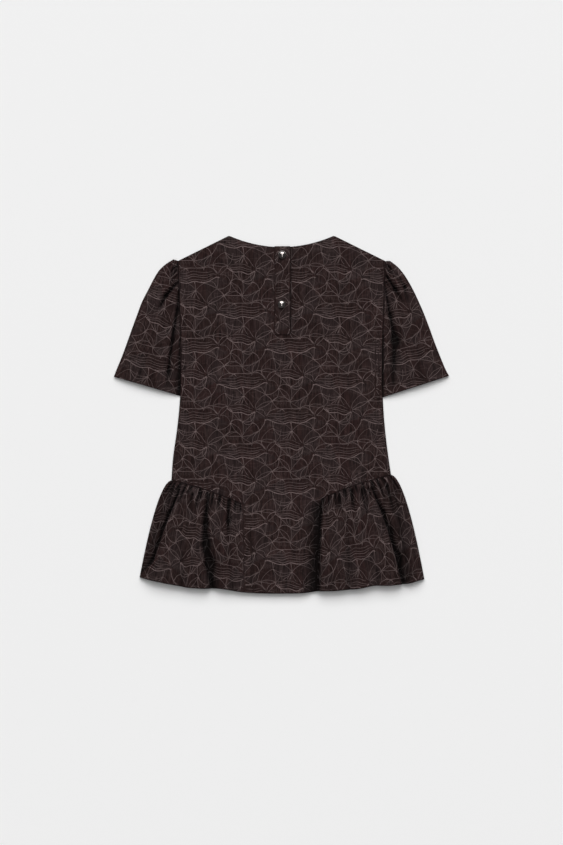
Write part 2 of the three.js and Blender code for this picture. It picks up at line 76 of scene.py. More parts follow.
# A fold runs from one point to another, with its half width and its depth at both. It is a ridge where its
# depth is below 0. Where it leans, it is gentle on one side and steep on the other.
FOLD = "x0 y0 x1 y1 width0 width1 depth0 depth1 lean"

# Driving sizes of the cut
CLOTH = 1.2
BAND_CLOTH = 1.0
GAP = 0.3
NECK_HALF = 85
NECK_TOP = 290
BACK_NECK_DROP = 18.6
FRONT_NECK_DROP = 86
FRONT_NECK_ROUNDING = 0.75  # 1 is a parabola, and 0.5 is half an ellipse
SHOULDER_HALF = 168
SHOULDER_Y = 249
HEM_MIDDLE_Y = -290
HEM_CURVE = 2.2
HEM_WAVES = table("x rise width", [
    (-98, 3.9, 26),
    (-152, -0.6, 12),
    (62, 2.6, 20),
    (104, 2.2, 24),
    (148, 4, 20),
    (206, -1.4, 12),
])
SIDES = {"left": -1, "right": 1}
# Ends of the gathers beside the plain middle, places of the side seam, and corners of the hem
WAIST = {
    "left": dict(end_half=62, end_y=-146, side_y=-107, hem_half=60, corner_half=230, corner_rise=26),
    "right": dict(end_half=64, end_y=-137, side_y=-98, hem_half=55, corner_half=231.6, corner_rise=23),
}
SEAM_BOW = 0.35  # how far the waist seam bows up between its ends
# Half width of the bodice at each height, up from the waist seam to the shoulder point
BODY_EDGE = table("y left right", [
    (-107, 178.5, 179.1),
    (-70, 175.8, 173.4),
    (-25, 169.5, 167.9),
    (20, 164.9, 164.6),
    (64, 163.2, 163.2),
    (120, 163.4, 163.8),
    (200, 165.8, 166.2),
    (249, 168, 168),
])
BACK_LEVEL = CLOTH + GAP  # underside of the back where it lies on the front
BACK_TOP = BACK_LEVEL + CLOTH
BACK_DIP = 0.2  # how far a fold of the back may sink below its top
CROWN = 1.6  # rise of the back over the middle of the front
CROWN_FADE = 15
CROWN_FLAT = (25, 70)  # half widths between which the shoulder seam holds the back down
LOFT = 3  # room that the gathers of the front take under those of the back
LOFT_START = 0.15
LOFT_SIDE = 0.15
PUFF_START = 0.03  # share of the panel's depth in which the gathers rise from the seam
FLARE = 0.45  # how much sooner the side edge flares than the inner edge
BODICE_DEPTH = 400  # about, from the neck to the waist seam
PANEL_DEPTH = 150  # about, from the waist seam to the hem
INNER_RISE = {"left": 0.22, "right": 0.06}  # share of a panel's width over which it rises from the middle
OUTER_FALL = 0.14  # share of its width over which it falls to the side seam
FRONT_WAVES = 5
FRONT_FLAT = 0.3  # share of the height of a wave of the front that lies flat on the surface
# Painted shade on the raised waves of the front's gathered panels
FRONT_SHADE = 0.5
SLEEVE_FOLD_RADIUS = 2.2
PUFF_POWER = 0.6  # fullness of a sleeve's curve from the armhole to its fold
BAND = dict(left=-11.3, right=14.1, top=272.6, bottom=128.8, overlap=3.2)
BUTTONS = {"button_upper": (1.3, 258.5), "button_lower": (0.3, 178.5)}
BUTTON_RADIUS = 6.6
BUTTON_HEIGHT = 5.4
BUTTON_FOOT_RADIUS = 5.6
BUTTON_DOME = 3.2  # height of the dome above its side
BUTTON_CHAMFER = (0.35, 0.2, 0.8)  # width and height of the bevel under its edge, and where the dome starts
BUTTON_RINGS = 14
BUTTON_SEGMENTS = 56
BUTTON_DENT = 0.25  # how far a button presses into the band
SHARP_ANGLE = 40
SHANK_RADIUS = 1.6
OPENING_X = (-8, 11)  # the slit of the back, under the bands

# Finer form of the cloth
THIN = 1.0  # thickness of the drawn cloth
LAYER_GAP = 0.1  # least room between the front and the back
SEAM_GAP = 0.02
REST = 0.25  # how far the front stands off the surface, under the raised yarn of its pattern
ROLL = 1.3  # how far in from a seam or a hem the cloth turns down
ROLL_DEPTH = 0.75
# Painted shade beside a seam or a hem, where the cloth turns down
SEAM_SHADE = 0.55
PUFF = 8.0  # height of the gathers over their valleys
STRIP_PUFF = 3.6  # how full the plain middle of the peplum is, up to the deep fold at its right
STRIP_FALL = 13
STRIP_SHADE = 0.88  # painted shade beside that fold
STRIP_SHADE_REACH = 17
BODICE_FOLD_SHADE = 0.5  # painted shade of a fold of the back for each millimetre of its depth
# Painted shade of a fold of the plain middle for each millimetre of its depth
STRIP_FOLD_SHADE = 0.3
PANEL_SPAN = 120  # about, from the plain middle to the side seam
PANEL_SHADE = 0.11  # painted shade: how much darker the gathered panels are painted than the flat back
PANEL_FULLNESS = 1.22  # width of a gathered panel's cut over the width of its hem as it lies
FOLD_CREASE = 0.52  # share of a fold that is a sharp crease in its trough
CREASE_WIDTH = 0.28
GATHERS = 21
GATHER_WIDTH = 1.6
GATHER_WIDENING = 1.5
GATHER_DEPTH = 7.4
GATHER_END = 0.2  # share of its depth that a gather keeps at its lower end
GATHER_LENGTH = 20
GATHER_SWAYS = dict(place=(0.32, 2.3, 1), length=(0.5, 1.7, 0), depth=(0.4, 3.1, 2))  # size, step and start
PUCKER = 0.35  # ripples of the bodice where the gathers pull on it
PUCKER_PITCH = 7.5
PUCKER_REACH = 9
PUCKER_START = 14  # how far in from the end of the gathers they are full
PUCKER_SWAY = (1.3, 17)
PUCKER_LEVEL = 0.6

PEPLUM_FOLDS = {
    "left": table(FOLD, [
        (-164.4, -122, -180.6, -161, 2.2, 2.6, 8, 10, -0.6),
        (-180.6, -161, -190, -185, 2.6, 2.9, 10, 10, -0.7),
        (-190, -185, -199.5, -213, 2.9, 3.2, 10, 9, -0.7),
        (-199.5, -213, -208, -239, 3.2, 3.8, 9, 7, -0.7),
        (-208, -239, -227, -257, 3.8, 3.4, 7, 4.5, -0.7),
        (-178.5, -163, -198, -215, 2, 2, -1.2, -2.2),
        (-198, -215, -206, -239, 2, 2, -2.2, -3),
        (-206, -239, -225, -257, 2, 1.6, -3, -2.4),
        (-180, -121, -223, -250, 11, 13, 3.2, 3.2),
        (-118.6, -130, -123.5, -178, 3, 4.6, 9, 10.5),
        (-123.5, -178, -125, -210, 4.6, 7, 10.5, 10, 0.4),
        (-125, -210, -119.5, -242, 7, 9, 10, 10, 0.5),
        (-119.5, -242, -112, -289, 9, 10, 10, 9, 0.4),
        (-132, -140, -134, -188, 3, 4, -1.6, -1),
        (-84.4, -138, -86.5, -172, 2.8, 4.2, 8, 6.5, 0.35),
        (-86.5, -172, -86, -206, 4.2, 6, 6.5, 0.8, 0.35),
        (-143.7, -129, -151, -164, 2.6, 4.5, 6.5, 1.2, -0.3),
        (-156, -198, -163, -284, 8, 10, 0.4, 3),
        (-84, -210, -79, -288, 7, 9, 0.5, 3.2),
        (-99, -133, -104, -160, 2.2, 3.6, 6, 0.8),
        (-130, -126, -134, -156, 2.2, 3.6, 5.5, 0.8),
        (-173, -113, -188, -160, 2.2, 3.6, 5, 1),
        (-138, -236, -139, -289, 5, 8, 0.3, 2.4),
        (-72, -140, -73, -160, 2.2, 3.4, 4.5, 0.5),
    ]),
    "right": table(FOLD, [
        (65.7, -136, 64, -158, 3.2, 4.2, 8, 9.5, -0.5),
        (64, -158, 61, -194, 4.2, 6, 9.5, 9.5, -0.5),
        (61, -194, 59, -289, 6, 9, 9.5, 8, -0.5),
        (145, -118, 163, -160, 2.8, 3.6, 7.5, 9.5, 0.6),
        (163, -160, 173.4, -191, 3.6, 4.4, 9.5, 10.5, 0.7),
        (173.4, -191, 185.4, -232, 4.4, 5, 10.5, 10.5, 0.7),
        (185.4, -232, 196, -276, 5, 6, 10.5, 9.5, 0.7),
        (160, -161, 171.4, -191, 2, 2, -1.4, -1.8),
        (171.4, -191, 183.4, -232, 2, 2, -1.8, -2.4),
        (183.4, -232, 193.6, -276, 2, 2, -2.4, -2),
        (182, -128, 207, -264, 11, 12, 3.4, 3.8),
        (120.5, -131, 124, -178, 3, 4, -3, -1),
        (170, -116, 181, -160, 2.6, 4.5, 7, 1.8, 0.3),
        (93, -129, 93, -156, 2.8, 4.2, 8, 2, 0.2),
        (114.5, -122, 117, -156, 2.6, 4, 7, 1.5),
        (129, -122, 139, -166, 2.6, 4, 7, 1.5, 0.3),
        (107, -170, 110, -288, 5, 9, 2, 3.6),
        (150, -226, 155, -282, 6, 8, 0.5, 3),
        (104, -123, 105, -144, 2, 3.2, 5, 0.8),
        (80, -130, 79, -152, 2.2, 3.6, 5.5, 0.6),
        (141, -120, 146, -142, 2, 3.2, 5, 0.6),
        (82, -226, 80, -289, 6, 9, 0.4, 2.2),
    ]),
}
BODICE_FOLDS = table(FOLD, [
    (157, 128, 156, 30, 2.2, 2.6, -1.2, -2.4),
    (153, 116, 152.4, 40, 1.4, 1.6, 0.5, 1.0),
    (-157.5, 150, -158, 50, 2.4, 2.8, -0.8, -1.4),
    (-120, 60, -96, -60, 9, 12, 0.1, 0.35),
    (112, 40, 90, -70, 9, 12, 0.1, 0.35),
    (-40, 110, -52, 20, 8, 12, 0.3, 0.1),
    (60, 190, 110, 214, 8, 10, 0.25, 0.3),
    (-66, 206, -118, 222, 8, 10, 0.2, 0.3),
    (-140, -60, -165, -96, 6, 7, 0.2, 0.5),
    (132, -58, 160, -90, 6, 7, 0.2, 0.5),
])
STRIP_FOLDS = table(FOLD, [
    (-52, -170, -49, -210, 2.4, 3.4, 0.6, 1.6),
    (-49, -210, -46, -288, 3.4, 5, 1.6, 1.2),
    (12, -200, 8, -288, 9, 14, 0.1, 0.8),
    (-26, -220, -28, -288, 8, 11, 0.1, 0.8),
])
SLEEVES = {
    "left": table("inner_y outer_half outer_y puff", [
        (249.2, 175.5, 251.5, 0.8),
        (243, 188, 243.5, 3),
        (233, 198.5, 233.5, 4.4),
        (219, 207, 220, 5),
        (201, 216, 202.5, 5),
        (180, 226, 183, 4.8),
        (157, 234, 162, 4.2),
        (132, 242.4, 139, 3.8),
        (106, 250.4, 116.5, 3.5),
        (81, 258.3, 95, 3.2),
        (59, 265.5, 77.5, 2.9),
        (42.5, 269.5, 67.5, 2.7),
        (30.2, 271.8, 61.3, 2.7),
    ]),
    "right": table("inner_y outer_half outer_y puff", [
        (248.6, 176, 249, 0.8),
        (242, 186, 241.5, 3),
        (232, 195, 232, 4.4),
        (218, 204, 219, 5),
        (200, 213.5, 202, 5),
        (180, 223, 182, 4.8),
        (157, 232, 161, 4.2),
        (132, 240.5, 138.5, 3.8),
        (106, 248.6, 116, 3.5),
        (81, 256.9, 95, 3.2),
        (59, 263.4, 79, 2.9),
        (41.5, 268.4, 68.5, 2.7),
        (27.8, 271.8, 62.6, 2.7),
    ]),
}
SLEEVE_RISE = 2.2  # how much fuller the sleeve is drawn than its rows say, where their puff is this or more
SLEEVE_FULL_PUFF = 3
SLEEVE_ROUNDING = 0.3
SLEEVE_DEPTH = 225  # about, from the cap to the hem
SLEEVE_SHADE_DEPTH = 5.6  # depth of a fold at which its painted shade is full
SLEEVE_LEAN = 14  # degrees by which a sleeve's threads lean out
SLEEVE_CORNERS = [(half, y) for half in (160, 275) for y in (20, 256)]  # of a box round either sleeve
SLEEVE_HALVINGS = 22
SLEEVE_FOLDS = {
    "left": table(FOLD, [
        (-167, 215, -187, 192, 2.6, 3.2, 6, 8),
        (-187, 192, -200, 168, 3.2, 5, 8, 2),
        (-165.5, 206, -169.5, 169, 2, 2.8, 5, 7, 0.3),
        (-169.5, 169, -177.4, 121, 2.8, 3.4, 7, 7.5, 0.4),
        (-177.4, 121, -184, 70, 3.4, 5, 7.5, 4.5, 0.45),
        (-184, 70, -187, 44, 5, 7, 4.5, 2, 0.4),
        (-166, 205, -164.5, 120, 1.3, 1.5, 2, 3),
        (-165, 120, -166, 27, 3, 9, 4.5, 7),
        (-171, 240, -181, 227, 1.6, 2.6, 6, 1),
        (-170, 233, -184, 216, 1.6, 2.6, 5, 1),
        (-169, 226, -183, 208, 1.6, 2.6, 6, 1),
        (-173, 246, -190, 234, 1.6, 2.6, 3, 0.8),
        (-174, 216, -190, 200, 2.6, 3.4, -2, -1.4),
        (-214, 150, -228, 60, 8, 11, 0.8, 2),
        (-204, 130, -209, 50, 5, 8, 0.4, 1.6),
    ]),
    "right": table(FOLD, [
        (170, 224, 184, 202, 2.4, 3.6, 7, 6),
        (184, 202, 194, 184, 3.6, 5, 6, 1.5),
        (168, 204, 175, 160, 2.4, 3.6, 5, 6, 0.3),
        (175, 160, 183, 120, 3.6, 8, 6.5, 7.5, 0.3),
        (183, 120, 181, 50, 8, 10, 7.5, 3.5),
        (166, 200, 164.5, 126, 1.4, 1.6, 1.5, 3),
        (164.5, 126, 163.5, 25, 2, 2.6, 8, 9),
        (172, 241, 183, 228, 1.6, 2.6, 6, 1),
        (171, 234, 187, 218, 1.6, 2.8, 5, 1),
        (169, 214, 181, 196, 1.6, 2.8, 5.5, 1),
        (186, 228, 199, 206, 2.4, 3.6, 1, 4.5, 0.3),
        (199, 206, 204, 176, 3.6, 5, 4.5, 1, 0.3),
        (177, 226, 190, 208, 2.6, 3.4, -2.2, -1.6),
        (190, 232, 206, 206, 3, 4, -2, -1),
        (214, 150, 226, 60, 8, 11, 0.8, 2),
        (203, 116, 206, 44, 5, 8, 0.4, 1.4),
    ]),
}

# Sizes of the cells of the meshes, and counts of their columns and rows
BACK_CELL = 3.4
FRONT_CELL = 6
EDGE_INSETS = (0.45, 1.1, 2.2)  # finer steps beside a hem or a seam
EDGE_CLEAR = 1.4  # no even step lies nearer to an edge than this many times the last of those
PANEL_GRID = {"front": (70, 30), "back": (230, 84)}
PANEL_ROW_POWER = 1.25  # how much closer the rows lie at the seam
SLEEVE_WIDTH = 100  # about, from the armhole to the fold
SLEEVE_GRID = (110, 120)
SLEEVE_TURN_STEPS = 9
BAND_INSETS = (0.3, 0.7, 1.2)
BAND_GRID = (26, 110)
UNDER_BAND_INSETS = (0.3, 0.8)
UNDER_BAND_GRID = (10, 40)
UNDER_BAND_LENGTH = 140  # about
UNDER_BAND_ROLL = (0.9, 0.4)

# The woven crackle: hubs joined by strands of lighter yarn in a half-drop repeat, and bundles of long strands
REPEAT_WIDTH = 156
HALF_DROP = (78, 57)
NEAR_REPEATS = 2
FAR_REPEATS = 3
HUBS = 13  # besides the two at the ends of each bundle
HUB_TRIES = 30
HUB_REACH = 85
HUB_CLEARANCE = 1.2  # no hub lies within this many times the size of a bundle
BUNDLES = [
    dict(x=36, y=8, half_length=40, half_height=7, strands=4, turn=2),
    dict(x=113, y=22, half_length=22, half_height=4.6, strands=3, turn=-8),
]
BUNDLE_WAVE = 1.3
BUNDLE_PITCH = 31
BUNDLE_OFFSET = 0.9  # at most, of a strand from its even place in the bundle
BUNDLE_PHASE = 0.35
BUNDLE_RAGGED = 0.36  # share of its half length by which a strand ends early, at most
BUNDLE_TAPER = dict(power=3.2, least=0.2, rounding=0.6)
STRAND_WIDTH = 0.95
STRAND_WIDTHS = (0.85, 1.2)  # range of the widths of strands over that
STRAND_SHADES = (0.3, 0.95)
SILL_DROP = 3.2  # how far the thick strand lies below the others of its bundle
SILL_TAPER = dict(start=1.1, power=3, least=0.3)
SILL_REACH = 1.04
SILL_WIDTH = 1.9
SILL_SHADE = 1.1
LINK_WIDTH = 1.1
LINK_WIDTHS = (0.8, 1.15)
LINK_BOW = 6.5
LINK_BOW_LENGTH = 25  # a shorter link bows less
LINK_SHARE = 0.86
TWIN_SHARE = 0.28
TWIN_SPREAD = 6
TWIN_SPREADS = (0.6, 1.4)
SPLIT_SHARE = 0.25
SPLIT_WIDTH = 0.85
SPLIT_FOOT = (0.35, 0.65)
SPLIT_BOW = 2.5
SPLIT_END = 1.4
INNER_SHADES = (0.2, 0.6)
FAN_SHARE = 0.08
FAN_PLACES = (0.25, 0.5, 0.75)
FAN_LENGTHS = (0.6, 0.95)
FAN_BOW = 1
FAN_END = 1.2
RIB_SHARE = 0.45
RIB_WIDTH = 0.65
RIB_PITCH = 2.5
RIB_RAGGED = 1
RIB_LEAN = 0.4
RIB_HALVES = (2.5, 4.5)
RIB_SHADES = (0, 0.3)
RIBS = range(-3, 4)
JUNCTION = 2.0  # width of a strand at a junction, and at a loose tip, over its width along the way
TIP = 0.4
END_REACH = 1.8
WOBBLE = 0.32
WOBBLE_PITCH = 17
WOBBLE_PITCHES = (0.8, 1.3)
STRAND_STEP = 2.2
SHORTEST_RUN = 3  # points
YARN_RISE = 0.22
YARN_SINK = 0.12
YARN_FLOOR = 0.02  # the least height of the yarn of the underside above the surface
YARN_INSET = 0.6  # how far from an edge the yarn ends, in millimetres
PANEL_INSET = 0.004  # the same as a share of a gathered panel
SLEEVE_INSETS = dict(armhole=0.006, fold=0.005, ends=0.03)  # shares of a sleeve's width, and of one row
BAND_CLEAR = 0.5
BUTTON_CLEAR = 1.5  # how far the yarn of the band runs in under a button
BODY_REACH = SHOULDER_HALF + 12  # half width of a box round the bodice
NUDGE = 0.4
NEARLY_ZERO = 1e-6
MIDDLE_TONE = 0.5
WEAVE_SHIFT = {"back": (22, 12), "front": (-31, 5), "band": (61, 37), "peplum": (9, 40), "sleeve": (48, 22)}
SEED = 4

# The opening's finer form
# Painted shadow on the back beside the free right edge of the over band, and how far it reaches
BAND_SHADE = 0.95
BAND_SHADE_REACH = 2.2
BAND_LIFT = (0.12, 0.7)  # how far the over band's left and right edges stand off the back
BAND_FREE_ROLL = (1.1, 0.6)  # reach and depth of the turned free edge, and of the edges that are sewn down
BAND_SEWN_ROLL = (3.4, 0.86)
BAND_EDGE = 0.12  # how thin the band ends at its sewn edges
SLOT_HALF = (1.9, 4.4)  # half width and half length of a buttonhole
STITCH_PITCH = 0.62
STITCH_LENGTH = 1.6
STITCH_POINTS = 4
STITCH_INSET = 0.1  # how far each stitch reaches into the slot
STITCH_OVERRUN = 0.6  # how far the row goes on past the ends of the slot
STITCH_SHARE = 0.95  # width of a stitch over their pitch
STITCH_SHADE = 0.3

# Names of the material slots, and where the weave starts on each gathered panel
CLOTH_SLOT = "jacquard"
METAL_SLOT = "button_metal"
PEPLUM_SHIFTS = {
    ("left", "front"): (0, 0),
    ("right", "front"): (43, 19),
    ("left", "back"): (71, 33),
    ("right", "back"): (20, 8),
}

# The studio, with softboxes by their elevation above the far edge of the floor and their spans in degrees
FLOOR_SIZE = 9.0
FLOOR_Z = -0.0002
FLOOR_TONES = (0.893, 0.897)
FLOOR_GRAIN = dict(Scale=90.0, Detail=3.0)
FLOOR_ROUGHNESS = 0.9
FLOOR_SPECULAR = 0.1
AMBIENT = 0.094
LIGHT_DISTANCE = 60.0
SOFTBOXES = {
    "wall": dict(elevation=40, wide=64, tall=36, radiance=4.68),
    "overhead": dict(elevation=73, wide=24, tall=32, radiance=3.0),
    "tail": dict(elevation=110, wide=8, tall=40, radiance=2.7),
}

# The camera, straight above
MM_PER_PX = 1.62
PHOTO_HEIGHT_PX = 845
CAMERA_X = 0
CAMERA_Y = -13
CAMERA_HEIGHT = 3.0
CAMERA_FOCUS_Z = 0.005
SENSOR = 36.0

# Noises of the cloth: scale along each way of the cloth per metre, detail and roughness
CRINKLE = ((420, 40, 1), 4.0, 0.6)
BROAD = ((11, 9, 1), 2.0)
THREADS = ((1500, 1100, 1), 2.0, 0.7)
ALONG_STRAND = ((70, 90, 1), 3.0)
TWIST = ((1400, 1400, 1), 1.0)

# The faint web under the crackle
WANDER_SCALE = (30, 30, 1)
WANDER = (1.3, 1.3, 0)
WEB_SCALE = (48, 68, 1)
WEB_LINE = (0.012, 0.05)
WEB_SHARE = 0.25

# Light of the cloth and the yarn: two values of a noise or an attribute, and what it becomes there
TONE_RANGE = (0.88, 1.18)  # darkest and lightest cell of the crackle
WARM_START, WARM_END = 0.35, 0.65
COOL_START, COOL_END = 0.55, 0.75
THREAD_LIGHT = (0.3, 0.7, 0.85, 1.15)
CRINKLE_LIGHT = (0.32, 0.68, 0.42, 1.62)
STRAND_LIGHT = (0.3, 0.7, 0.25, 1.3)
TWIST_LIGHT = (0.3, 0.7, 0.75, 1.2)
# Painted shade: the colour of the cloth and its yarn darkens between these two values of the painted shade of
# a point
FOLD_START, FOLD_END = 0.05, 0.85
CREASE_SHADE = 0.12  # painted shade: share of the colour left in the deepest folds
RIDGE_LIGHT = 3.0  # painted highlight: how much the colour is lightened on the sharpest ridge
CLOTH_ROUGHNESS = (0.3, 0.7, 0.86, 0.72)
CLOTH_SHEEN = dict(Sheen_Weight=0.018, Sheen_Roughness=0.45, Sheen_Tint=(0.62, 0.55, 0.56, 1.0))
CLOTH_SPECULAR = 0.05
YARN_ROUGHNESS = (0.3, 0.7, 0.5, 0.68)
YARN_SHEEN = dict(Sheen_Weight=0.05, Sheen_Roughness=0.4, Sheen_Tint=(0.75, 0.68, 0.68, 1.0))
YARN_SPECULAR = 0.2
METAL_ROUGHNESS = (0.3, 0.7, 0.03, 0.09)
HAZE = dict(Scale=420.0, Detail=4.0)
PATINA = dict(Scale=160.0, Detail=2.0)
PATINA_LIGHT = 1.35

# Relief of the finest forms, as shares of a millimetre
RELIEF_DEPTH = 0.001
CRINKLE_RELIEF = 0.55
THREAD_RELIEF = 0.10
WEB_RELIEF = 0.12
TWIST_RELIEF = 0.08
HAZE_RELIEF = 0.02

# Colours, as linear light
GROUND = (0.0192, 0.0107, 0.0100)
GROUND_WARM = (0.0220, 0.0114, 0.0110)
GROUND_COOL = (0.0197, 0.0126, 0.0125)
YARN = (0.150, 0.107, 0.104)
YARN_DIM = (0.060, 0.041, 0.039)
GUNMETAL = (0.262, 0.238, 0.230)


# Interpolation
def mix(low, high, share):
    return low + (high - low) * share


def smooth_step(low, high, value):
    share = np.clip((value - low) / (high - low), 0, 1)
    return share * share * (3 - 2 * share)


def soft_floor(value, rounding=0.5):
    """Never below 0, and rounded where value passes it."""
    return (value + np.sqrt(value * value + rounding * rounding)) / 2


def along(rows, key, place, place_key):
    """The value of a column of a table at a place along another, on a smooth curve through the rows."""
    places = np.array([row[place_key] for row in rows], float)
    values = np.array([row[key] for row in rows], float)
    place = np.asarray(place, float)
    slopes = np.empty(len(places))
    slopes[1:-1] = (values[2:] - values[:-2]) / (places[2:] - places[:-2])
    slopes[0] = (values[1] - values[0]) / (places[1] - places[0])
    slopes[-1] = (values[-1] - values[-2]) / (places[-1] - places[-2])
    row = np.clip(np.searchsorted(places, place, side="right") - 1, 0, len(places) - 2)
    span = places[row + 1] - places[row]
    share = np.clip((place - places[row]) / span, 0, 1)
    square = share * share
    cube = square * share
    return (
        (2 * cube - 3 * square + 1) * values[row]
        + (cube - 2 * square + share) * span * slopes[row]
        + (3 * square - 2 * cube) * values[row + 1]
        + (cube - square) * span * slopes[row + 1]
    )


def edged(count, length, insets=EDGE_INSETS):
    """Shares from 0 to 1, evenly spaced but for finer steps beside both ends of a stretch of that length."""
    near = np.array(insets) / length
    clear = near[-1] * EDGE_CLEAR
    even = np.linspace(0, 1, count + 1)
    even = even[(even > clear) & (even < 1 - clear)]
    return np.concatenate([[0], near, even, 1 - near[::-1], [1]])


# Outline of the garment
def body_half(side, y):
    return along(BODY_EDGE, side, np.maximum(y, WAIST[side]["side_y"]), "y")


def edge_half(x, y):
    return np.where(x < 0, body_half("left", y), body_half("right", y))


def shoulder_y(half):
    return NECK_TOP - (half - NECK_HALF) * (NECK_TOP - SHOULDER_Y) / (SHOULDER_HALF - NECK_HALF)


def back_top_y(x):
    half = np.abs(x)
    neck = NECK_TOP - BACK_NECK_DROP * (1 - (np.minimum(half, NECK_HALF) / NECK_HALF) ** 2)
    return np.where(half > NECK_HALF, shoulder_y(half), neck)


def front_top_y(x):
    half = np.abs(x)
    bowl = (1 - (np.minimum(half, NECK_HALF) / NECK_HALF) ** 2) ** FRONT_NECK_ROUNDING
    return np.where(half > NECK_HALF, shoulder_y(half), NECK_TOP - FRONT_NECK_DROP * bowl)


def waist_point(side, share):
    waist = WAIST[side]
    bowed = share * (1 + SEAM_BOW - SEAM_BOW * share)
    half = mix(waist["end_half"], body_half(side, waist["side_y"]), share)
    return half, mix(waist["end_y"], waist["side_y"], bowed)


def waist_y(x):
    """Height of the waist seam, or of the line between the ends of its gathers, at each x."""
    seam = np.empty_like(x, dtype=float)
    for side, sign in SIDES.items():
        end = WAIST[side]["end_half"]
        share = (np.abs(x) - end) / (body_half(side, WAIST[side]["side_y"]) - end)
        here = x * sign >= end
        seam[here] = waist_point(side, np.clip(share[here], 0, 1))[1]
    left, right = WAIST["left"], WAIST["right"]
    middle = (x > -left["end_half"]) & (x < right["end_half"])
    share = (x + left["end_half"]) / (left["end_half"] + right["end_half"])
    seam[middle] = mix(left["end_y"], right["end_y"], share[middle])
    return seam


def hem_y(x):
    left, right = WAIST["left"], WAIST["right"]
    half = np.where(x < 0, left["corner_half"], right["corner_half"])
    rise = np.where(x < 0, left["corner_rise"], right["corner_rise"])
    waves = sum(wave["rise"] * np.exp(-(((x - wave["x"]) / wave["width"]) ** 2)) for wave in HEM_WAVES)
    return HEM_MIDDLE_Y + rise * (np.abs(x) / half) ** HEM_CURVE + waves


def fold_depth(folds, x, y):
    """How deep the folds of a list reach at each point.

    The gentle side of a fold is towards +X where it leans above 0 and runs down.
    """
    depth = np.zeros_like(x, dtype=float)
    for fold in folds:
        dx = fold["x1"] - fold["x0"]
        dy = fold["y1"] - fold["y0"]
        share = ((x - fold["x0"]) * dx + (y - fold["y0"]) * dy) / (dx * dx + dy * dy)
        held = np.clip(share, 0, 1)
        beside = dx * (y - fold["y0"]) - dy * (x - fold["x0"])
        width = mix(fold["width0"], fold["width1"], held) * (1 + fold.get("lean", 0) * np.sign(beside))
        away = np.hypot(x - fold["x0"] - held * dx, y - fold["y0"] - held * dy) / width
        trough = (1 - FOLD_CREASE) * np.exp(-away * away) + FOLD_CREASE * np.exp(-away / CREASE_WIDTH)
        depth += mix(fold["depth0"], fold["depth1"], held) * trough
    return depth


def shade_of(fold, inset):
    """How far a point lies in the painted shade of a fold, a seam or an edge, and below 0 for a painted
    highlight on a ridge.
    """
    painted_edge_shade = SEAM_SHADE * (1 - np.maximum(inset, 0) / ROLL)
    return np.clip(np.maximum(np.maximum(fold, 0), painted_edge_shade) + np.minimum(fold, 0), -1, 1)


def roll_down(distance, reach=ROLL, depth=ROLL_DEPTH):
    """How far the turned edge of a cloth falls at a distance in from its edge."""
    share = np.clip(distance / reach, 0, 1)
    return depth * (1 - np.sqrt(1 - (1 - share) ** 2))


def strip_down(x, y):
    """How far down the plain middle of the peplum a point is, from 0 at the waist to 1 at the hem."""
    seam = waist_y(x)
    return np.clip((seam - y) / (seam - hem_y(x)), 0, 1)


def body_inset(x, y, top_y, with_strip_sides=True):
    """How far in from the outline of the front or the back a point is, and below 0 outside it."""
    ends = np.where(x < 0, WAIST["left"]["end_half"], WAIST["right"]["end_half"])
    hems = np.where(x < 0, WAIST["left"]["hem_half"], WAIST["right"]["hem_half"])
    from_seam = y - waist_y(x)
    bodice = np.minimum(edge_half(x, y) - np.abs(x), top_y(x) - y)
    bodice = np.where(np.abs(x) > ends, np.minimum(bodice, from_seam), bodice)
    strip = y - hem_y(x)
    if with_strip_sides:
        strip = np.minimum(mix(ends, hems, strip_down(x, y)) - np.abs(x), strip)
    return np.where(from_seam >= 0, bodice, strip)


# Gathered panels of the peplum
def panel_width(side):
    """Width of a gathered panel before it was gathered."""
    return (WAIST[side]["corner_half"] - WAIST[side]["hem_half"]) * PANEL_FULLNESS


def panel_inset(across, down):
    """How far in from the seam, the side and the hem a point is. The inner edge runs on into the middle."""
    return np.minimum.reduce([(1 - across) * PANEL_SPAN, down * PANEL_DEPTH, (1 - down) * PANEL_DEPTH])


def panel_plan(side, across, down):
    waist = WAIST[side]
    start_half, start_y = waist_point(side, across)
    hem = mix(waist["hem_half"], waist["corner_half"], across)
    half = mix(start_half, hem, down ** (1 - FLARE * across))
    x = SIDES[side] * (half + SEAM_GAP)
    return x, mix(start_y - SEAM_GAP, hem_y(x), down)


def panel_loft(across, down):
    return LOFT * (1 - np.exp(-down / LOFT_START)) * (1 - smooth_step(1 - LOFT_SIDE, 1, across))


def crown(x, y):
    dome = CROWN * (1 - np.minimum(1, (x / edge_half(x, y)) ** 2))
    near_seam = np.exp(-np.maximum(0, back_top_y(x) - y) / CROWN_FADE)
    return dome * (1 - smooth_step(*CROWN_FLAT, np.abs(x)) * near_seam)


def gather_sway(kind, index):
    size, step, start = GATHER_SWAYS[kind]
    return size * math.sin(index * step + start)


def gather_folds(side):
    """Small gathers that hang from a waist seam, uneven in place, length and depth."""
    widths = (GATHER_WIDTH, GATHER_WIDTH * GATHER_WIDENING)
    folds = []
    for index in range(GATHERS):
        share = (index + 0.5 + gather_sway("place", index)) / GATHERS
        length = GATHER_LENGTH * (1 + gather_sway("length", index))
        half, y = waist_point(side, share)
        end_x, end_y = panel_plan(side, share, length / PANEL_DEPTH)
        depth = GATHER_DEPTH * (1 + gather_sway("depth", index))
        start = (SIDES[side] * half, y)
        folds.append((*start, float(end_x), float(end_y), *widths, depth, depth * GATHER_END))
    return table(FOLD, folds)


GATHER_FOLDS = {side: gather_folds(side) for side in SIDES}


